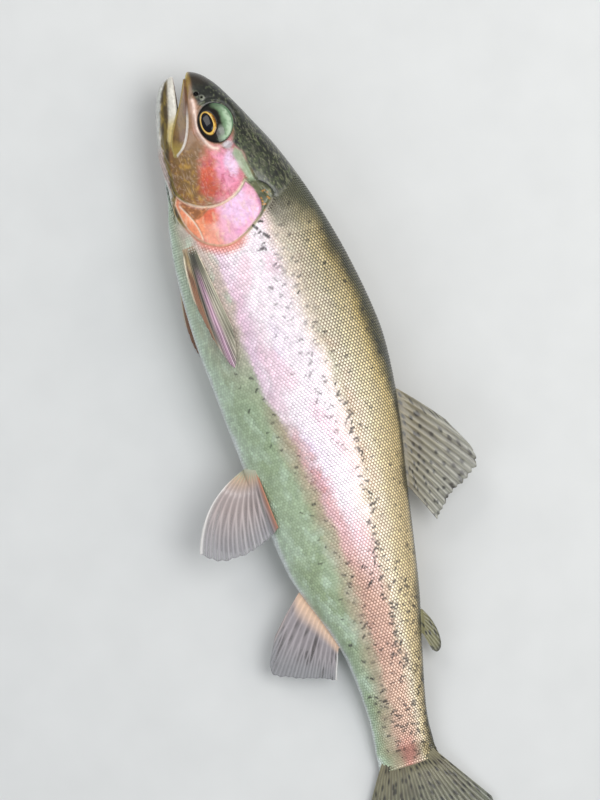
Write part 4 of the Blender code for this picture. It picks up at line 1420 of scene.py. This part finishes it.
def rayed_fin(node, form, surface, rays, fin_paint, fin_material, root_half, seed, first=-0.1,
              frill=0.022, wave=0.5, ray_height=0.42):
    """A fin as one closed thin solid: branching rays that stand out of a thin membrane."""
    name = node + "_" + form
    across, along = rays * POINTS_PER_RAY + 1, POINTS_ALONG
    share, t = np.meshgrid(np.linspace(0, 1, across), np.linspace(first, 1, along), indexing="ij")
    out = np.clip(t, 0, 1)
    place_in_ray = share * (rays - 1)
    rng = np.random.default_rng(seed)
    shorter = rng.uniform(-0.5, 0.5, rays)[np.round(place_in_ray).astype(int)] * frill
    notch = frill * (1 - np.cos(2 * np.pi * place_in_ray)) / 2
    reach = np.where(t > 0, t * (1 - notch * t * t + shorter * t), t)
    middle = np.stack(surface(share, reach), -1)
    step = 1e-3
    right, left = np.clip(share + step, 0, 1), np.clip(share - step, 0, 1)
    by_share = np.stack(surface(right, reach), -1) - np.stack(surface(left, reach), -1)
    by_reach = np.stack(surface(share, reach + step), -1) - np.stack(surface(share, reach - step), -1)
    normal = unit(np.cross(by_share, by_reach))
    ripple = wave * np.sin(share * 9 + 2.5 * t + seed) * out**1.5
    ripple += 0.18 * np.cos(2 * np.pi * place_in_ray) * out
    middle = middle + normal * ripple[..., None]

    ray, half = ray_relief(share, t, out, place_in_ray, ray_height)
    half = mix(root_half, half, ease(-0.02, 0.16, t))
    half = np.where(t >= 1 - 1e-9, 0.05, half)
    sides = [middle + normal * half[..., None], middle - normal * half[..., None]]
    flat = np.concatenate([one.reshape(-1, 3) for one in sides])
    colours, clear = fin_paint(share.ravel(), out.ravel(), ray.ravel(), place_in_ray.ravel())
    attributes = {"hue": np.vstack([colours, colours]), "clear": np.concatenate([clear, clear])}
    mesh = fast_mesh(name, place(*flat.T), closed_sheet(across, along), attributes)
    piece(name, mesh, fin_material, (node,))


def spotted_paint(base, tip, spot_cell, spot_size, keep, seed):
    """Colours of a grey, spotted fin: `base` and `tip` colours, and rows of dark spots between rays."""
    def colours(share, t, ray, place_in_ray):
        away = dots(place_in_ray, t * 11, spot_cell, seed, keep)
        streak = ease(spot_size, spot_size * 0.5, away)
        hue = blend(linear(*base), linear(*tip), t)
        hue = hue * (0.8 + 0.35 * ray)[:, None]
        hue = layered(hue, [
            ((26, 24, 22), 0.85 * streak),
            ((74, 66, 60), 0.35 * cloud(0.5, 0.9, place_in_ray, t * 6, 0.9, seed + 4)),
        ])
        clear = 1 - 0.45 * (1 - ray) * ease(0.1, 0.6, t) * (1 - streak)
        return hue, clear
    return colours


def streaked_paint(root, middle, tip, seed, darkness, stripe, stripe_to, clearness, skin_share):
    """Colours of a soft pink-grey fin: fleshy root, dark streaks between the rays, a pale leading edge.

    `stripe` colours the rays next to the body, as far across as `stripe_to`, and `skin_share` says how
    much of the belly's own colour the root takes.
    """
    def colours(share, t, ray, place_in_ray):
        streak = (1 - ray) * cloud(0.45, 0.8, place_in_ray, t * 3.2, 1.0, seed) * ease(0.12, 0.35, t)
        along_body = ease(stripe_to + 0.06, stripe_to - 0.06, share)
        hue = blend(linear(*root), linear(*middle), ease(0.02, 0.3, t))
        hue = blend(hue, linear(*tip), ease(0.4, 1.0, t))
        hue = hue * (0.88 + 0.22 * ray)[:, None]
        hue = layered(hue, [
            ((58, 52, 50), darkness * streak),
            (stripe, 0.9 * along_body),
            ((244, 242, 238), 0.9 * bump(share - 1, 0.03) * ease(0.05, 0.3, t)),
            ((186, 196, 174), skin_share * ease(0.16, 0.02, t + 0.04 * np.sin(place_in_ray * 5))),
        ])
        clear = 1 - clearness * (1 - ray) * ease(0.12, 0.6, t) * (1 - along_body)
        return hue, clear
    return colours


def folded_paint(share, t, ray, place_in_ray):
    """Colours of the folded pectoral fins: olive and cream, a violet ridge, black streaks with painted
    shadow in the fold, golden streaks.
    """
    wander = share + 0.05 * sway(place_in_ray, t * 5, 1.6, 57)
    pale = cloud(0.3, 0.9, place_in_ray, t * 2.5, 1.1, 58)
    margins = np.maximum(bump(share - 1, 0.06), bump(share, 0.03))
    hue = blend(linear(150, 148, 128), linear(196, 190, 170), pale)
    hue = layered(hue, [
        ((192, 150, 178), 0.95 * bump(wander - 0.40, 0.12) * ease(0.1, 0.3, t)),
        ((222, 190, 206), 0.7 * bump(wander - 0.36, 0.03) * ease(0.2, 0.5, t)),
        ((178, 156, 116), 0.9 * ease(0.56, 0.68, wander)),
        ((132, 78, 56), 0.8 * ease(0.2, 0.4, t) * ease(0.58, 0.66, wander)),
        # painted shadow: a black streak in the fold beside the ridge
        ((26, 28, 22), 0.9 * bump(wander - 0.56, 0.055) * ease(0.02, 0.2, t) * ease(1.0, 0.7, t)),
        ((92, 94, 74), 0.7 * ease(0.3, 0.2, wander) * ease(0.5, 0.2, t)),
        ((34, 38, 30), 0.9 * bump(wander - 0.36, 0.16) * ease(0.32, 0.12, t)),
        ((40, 38, 34), 0.7 * (1 - ray) * cloud(0.4, 0.8, place_in_ray, t * 4, 0.9, 59)),
        ((238, 230, 206), 0.9 * margins * ease(0.0, 0.2, t)),
        ((206, 176, 150), 0.85 * ease(0.07, -0.02, t)),
    ])
    clear = 1 - 0.3 * (1 - ray) * ease(0.3, 0.8, t)
    return hue * (0.85 + 0.25 * ray)[:, None], clear


def adipose_paint(share, t, ray, place_in_ray):
    """Colours of the rayless fin: olive, darker at its margin, with a few spots."""
    hue = blend(linear(116, 112, 74), linear(84, 84, 58), t)
    hue = layered(hue, [
        ((150, 146, 100), 0.4 * noise(share * 9, t * 9, 1.5, 74)),
        ((22, 22, 18), 0.9 * ease(0.85, 0.45, dots(share * 9, t * 9, 3.0, 75, 0.7))),
        ((34, 34, 26), 0.7 * ease(0.86, 0.97, t)),
    ])
    return hue, np.ones(len(t))


def fins(fin_material):
    """All eight fins."""
    grey = spotted_paint((126, 116, 88), (150, 150, 138), 1.3, 0.42, 0.75, 51)
    spotted = spotted_paint((128, 122, 96), (112, 118, 104), 1.5, 0.5, 0.8, 54)
    peach = streaked_paint((246, 208, 178), (164, 156, 160), (146, 146, 150), 53, 0.75,
                           (190, 168, 158), 0.0, 0.55, 0.0)
    pink = streaked_paint((216, 182, 148), (184, 170, 168), (166, 164, 168), 56, 0.2,
                          (196, 126, 92), 0.06, 0.7, 0.85)
    rayed_fin("dorsal_fin", "sheet", median_surface(BACK, 1, *DORSAL), 14, grey, fin_material, 1.2, 1)
    rayed_fin("adipose_fin", "flap", median_surface(BACK, 1, *ADIPOSE), 9, adipose_paint, fin_material,
              1.3, 2, frill=0.0, wave=0.2, ray_height=0.04)
    rayed_fin("anal_fin", "sheet", median_surface(BELLY, -1, *ANAL), 13, peach, fin_material,
              1.2, 3, frill=0.014)
    rayed_fin("caudal_fin", "sheet", tail_surface, 27, spotted, fin_material, 1.9, 4,
              first=-0.12, wave=0.7)
    for seed, name in enumerate(PAIRED, 5):
        if name.startswith("pectoral"):
            rayed_fin(name, "sheet", paired_surface(name), 14, folded_paint, fin_material, 0.5, seed,
                      wave=0.4, frill=0.012)
        else:
            rayed_fin(name, "sheet", paired_surface(name), 11, pink, fin_material, 0.6, seed,
                      frill=0.012, ray_height=0.18)


# ---------------------------------------------------------------- eyes and tongue

PUPIL = (37.2, 1.4)
PUPIL_HEIGHT = 3.15            # about the pupil's half height
EYE_RINGS, EYE_SPOKES = 90, 128
TONGUE, TONGUE_RADII = (30.0, -17.2), (11.0, 2.2, 5.0)
TONGUE_RINGS, TONGUE_SPOKES = 40, 48


def eye_zones(a, u):
    """(pupil, iris): each is 1 on its own edge and less inside."""
    x, y = a - PUPIL[0], u - PUPIL[1]
    pupil = np.hypot(x * np.where(x < 0, 0.93, 1.07) / 6.4, y / 3.45)
    return pupil, np.hypot(x / 7.8, y / np.where(y > 0, 5.6, 4.5))


def white_paint(a, u):
    """Colours of the eye round the iris: dark, with a greenish crescent above and painted shade at the
    lower rim.
    """
    x, y = a - PUPIL[0], u - PUPIL[1]
    rim = orbit(a, u)
    around_pupil = np.hypot(x * 0.72, y) + 1.2 * sway(a, u, 2.4, 62)
    crescent = ease(8.2, 12.0, around_pupil) * ease(2.4, 7.0, y + 0.1 * x)
    return layered(plain(a, (24, 19, 14)), [
        ((66, 82, 58), ease(7.6, 9.6, around_pupil) * ease(2.0, 6.0, y)),
        ((136, 166, 132), crescent),
        ((184, 206, 178), 0.8 * ease(10.5, 13.5, around_pupil) * crescent),
        ((84, 106, 80), 0.5 * crescent * cloud(0.45, 0.9, a, u, 2.2, 78)),
        ((60, 76, 56), 0.8 * crescent * ease(-5.0, -10.0, x)),
        ((112, 118, 108), 0.8 * ease(1.4, 0.6, oval(x, y, (6.5, 7.2), (3.2, 1.8)))),
        # painted shade at the eyeball's lower rim, under the socket's edge
        ((12, 11, 10), ease(0.86, 0.98, rim) * ease(9, 3, y)),
        ((96, 124, 96), ease(0.92, 1.0, rim) * ease(3, 9, y)),
    ])


def iris_paint(a, u, pupil):
    """Colours of the iris: gold with fibres and brown streaks, a pale ring round the pupil."""
    x, y = a - PUPIL[0], u - PUPIL[1]
    turn = np.arctan2(y, x)
    fibres = 0.5 + 0.5 * np.sin(turn * 46 + 3 * noise(a, u, 1.1, 61))
    streaks = cloud(0.35, 0.7, turn * 5.0, pupil * 6.0, 1.0, 79)

    def beside_pupil(share, width):
        """A ring round the pupil at that share of its radii; `width` is about in millimetres."""
        return bump((pupil - share) * PUPIL_HEIGHT, width)
    return layered(plain(a, (196, 140, 42)), [
        ((246, 214, 110), 0.8 * beside_pupil(1.16, 0.35)),
        ((92, 58, 22), 0.75 * ease(1.22, 1.4, pupil)),
        ((60, 36, 14), 0.6 * fibres * ease(1.2, 1.5, pupil)),
        ((54, 34, 14), 0.9 * ease(1.0, -1.5, y) * ease(1.1, 1.3, pupil)),
        ((214, 192, 140), 0.6 * ease(0.5, -1.0, y) * beside_pupil(1.12, 0.13)),
        ((120, 66, 20), 0.7 * streaks * ease(1.1, 1.25, pupil) * ease(-1.0, 1.0, y)),
        ((232, 178, 74), 0.6 * (1 - streaks) * beside_pupil(1.36, 0.3) * ease(-0.5, 1.5, y)),
    ])


def eye_paint(a, u):
    """Colours of the eye."""
    pupil, iris = eye_zones(a, u)
    colour = blend(white_paint(a, u), iris_paint(a, u, pupil), ease(1.04, 0.94, iris))
    return lay(colour, (4, 5, 16), ease(1.04, 0.98, pupil))


def polar_grid(reach, spokes):
    """(reach, turn) of points on rings round a middle."""
    return np.meshgrid(reach, np.linspace(0, 2 * np.pi, spokes, endpoint=False), indexing="ij")


def eyes(eye_material):
    """Both eyeballs: low domes with a relief of pupil and iris."""
    reach, turn = polar_grid(np.linspace(0.004, 1.09, EYE_RINGS), EYE_SPOKES)
    a = EYE[0] + EYE_RADII[0] * reach * np.cos(turn)
    u = EYE[1] + EYE_RADII[1] * reach * np.sin(turn)
    pupil, iris = eye_zones(a, u)
    out = eye_dome(a, u) + 0.35 * bump(pupil, 1.1) - 0.12 * bump(pupil - 1.0, 0.12)
    out = out - 0.10 * bump(iris - 1.0, 0.08)
    hue = eye_paint(a.ravel(), u.ravel())
    for side, word in FLANKS:
        faces = tube_faces(EYE_RINGS, EYE_SPOKES)[:, [0, 3, 2, 1]][:, ::side]
        points = place(a.ravel(), u.ravel(), side * out.ravel())
        mesh = fast_mesh("eyeball_" + word, points, faces, {"hue": hue})
        piece("eyeball_" + word, mesh, eye_material, ("eye_" + word,))


def tongue(wet_material):
    """The tongue: a flat oval body with a furrow on top."""
    p, q = polar_grid(np.linspace(0, np.pi, TONGUE_RINGS), TONGUE_SPOKES)
    a = TONGUE[0] - TONGUE_RADII[0] * np.cos(p)
    u = TONGUE[1] + TONGUE_RADII[1] * np.sin(p) * np.sin(q)
    out = TONGUE_RADII[2] * np.sin(p) * np.cos(q)
    u = u - 0.35 * bump(out, 1.2) * (np.sin(q) > 0) + 0.12 * noise(a, out, 0.8, 71)
    a, u, out = a.ravel(), u.ravel(), out.ravel()
    hue = lay(plain(a, (214, 176, 164)), (186, 132, 128), noise(a, out, 2.5, 72))
    faces = tube_faces(TONGUE_RINGS, TONGUE_SPOKES)
    mesh = fast_mesh("tongue_flesh", place(a, u, out), faces, {"hue": hue})
    piece("tongue_flesh", mesh, wet_material, ("tongue",))


# ---------------------------------------------------------------- floor, lights, camera

FLOOR_HALF = 3                 # metres


def floor():
    """A matte grey floor round the fish."""
    corners = np.array([[-1, -1, 0], [1, -1, 0], [1, 1, 0], [-1, 1, 0]], float) * FLOOR_HALF
    mesh = fast_mesh("floor", corners, [[0, 1, 2, 3]])
    made, nodes, links = material("floor_matte")
    shader = nodes["Principled BSDF"]
    grain = textured(nodes, links, "ShaderNodeTexNoise", {"Scale": 30.0})
    colour = nodes.new("ShaderNodeValToRGB")
    colour.color_ramp.elements[0].color = (0.62, 0.63, 0.63, 1)
    colour.color_ramp.elements[1].color = (0.68, 0.69, 0.69, 1)
    links.new(grain.outputs["Fac"], colour.inputs["Fac"])
    links.new(colour.outputs["Color"], shader.inputs["Base Color"])
    fill(shader, {"Roughness": 0.8})
    mesh.materials.append(made)
    linked("floor", mesh)


def softbox(name, where, towards, size, power, colour=(1, 1, 1)):
    """A rectangular light, unseen itself, turned towards a point."""
    light = bpy.data.lights.new(name, "AREA")
    light.shape = "RECTANGLE"
    light.size, light.size_y = size
    light.energy = power
    light.color = colour
    obj = linked(name, light)
    obj.visible_camera = False
    obj.location = where
    obj.rotation_euler = (Vector(towards) - Vector(where)).to_track_quat("-Z", "Y").to_euler()


def studio():
    """White light from above the back, warm from low behind it and from the snout, cool all round."""
    softbox("key", (0.02, 0.62, 1.35), (0, 0, 0), (1.3, 0.8), 13)
    softbox("rim", (0.1, 1.1, 0.75), (0.03, 0, 0), (1.2, 0.6), 4.0, (1.0, 0.95, 0.86))
    softbox("front", (-1.1, -0.2, 0.9), (-0.1, 0, 0), (0.7, 0.7), 5, (1.0, 0.98, 0.95))
    softbox("fill", (0.5, -1.1, 1.0), (0, 0, 0), (1.2, 0.8), 4.5, (0.94, 0.97, 1.0))
    world = bpy.data.worlds.new("studio")
    bpy.context.scene.world = world
    world.use_nodes = True
    fill(world.node_tree.nodes["Background"], {"Color": (0.80, 0.83, 0.86, 1), "Strength": 0.42})
    bpy.context.scene.view_settings.view_transform = "Standard"


LEAN = math.asin(0.302)        # the fish's axis leans this far from the frame's long side
FRAME_MIDDLE = (217.7, 4.4)    # along, up of the frame's middle
FRAME_SPAN = 0.500             # metres of the fish's mid-plane that the frame's long side takes in
CAMERA_HEIGHT = 1.9            # metres
MID_PLANE = 0.03               # metres
FILM_WIDTH = 36.0              # millimetres


def camera():
    """A camera that looks straight down, turned so that the fish crosses the frame aslant."""
    data = bpy.data.cameras.new("camera")
    data.lens = FILM_WIDTH * (CAMERA_HEIGHT - MID_PLANE) / FRAME_SPAN
    data.sensor_width = FILM_WIDTH
    obj = linked("camera", data)
    c, s = math.cos(LEAN), math.sin(LEAN)
    x, y = (np.array(FRAME_MIDDLE) + SHIFT) * MM
    obj.matrix_world = Matrix(((s, -c, 0, x), (c, s, 0, y), (0, 0, 1, CAMERA_HEIGHT), (0, 0, 0, 1)))
    bpy.context.scene.camera = obj


def main():
    """The whole model, its floor, lights and camera."""
    body_skin(painted("wet_skin", (0.30, 0.46), 0.3, 900, 0.6, 0.12))
    body_coats(painted("wet_scales", (0.26, 0.42), 0.25, 1400, 0.8, 0.12, mottle=0.06, shine=(0.0, 0.35)))
    fins(painted("wet_fin", (0.32, 0.5), 0.3, 700, 0.5, 0.18, clear=(0.15, 1.0)))
    eyes(painted("wet_eye", (0.2, 0.3), 0.1, 1500, 0.65, 0.02, mottle=0.05, specular=0.1))
    tongue(painted("wet_lining", (0.3, 0.45), 0.6, 900, 0.8, 0.12))
    floor()
    studio()
    camera()


main()
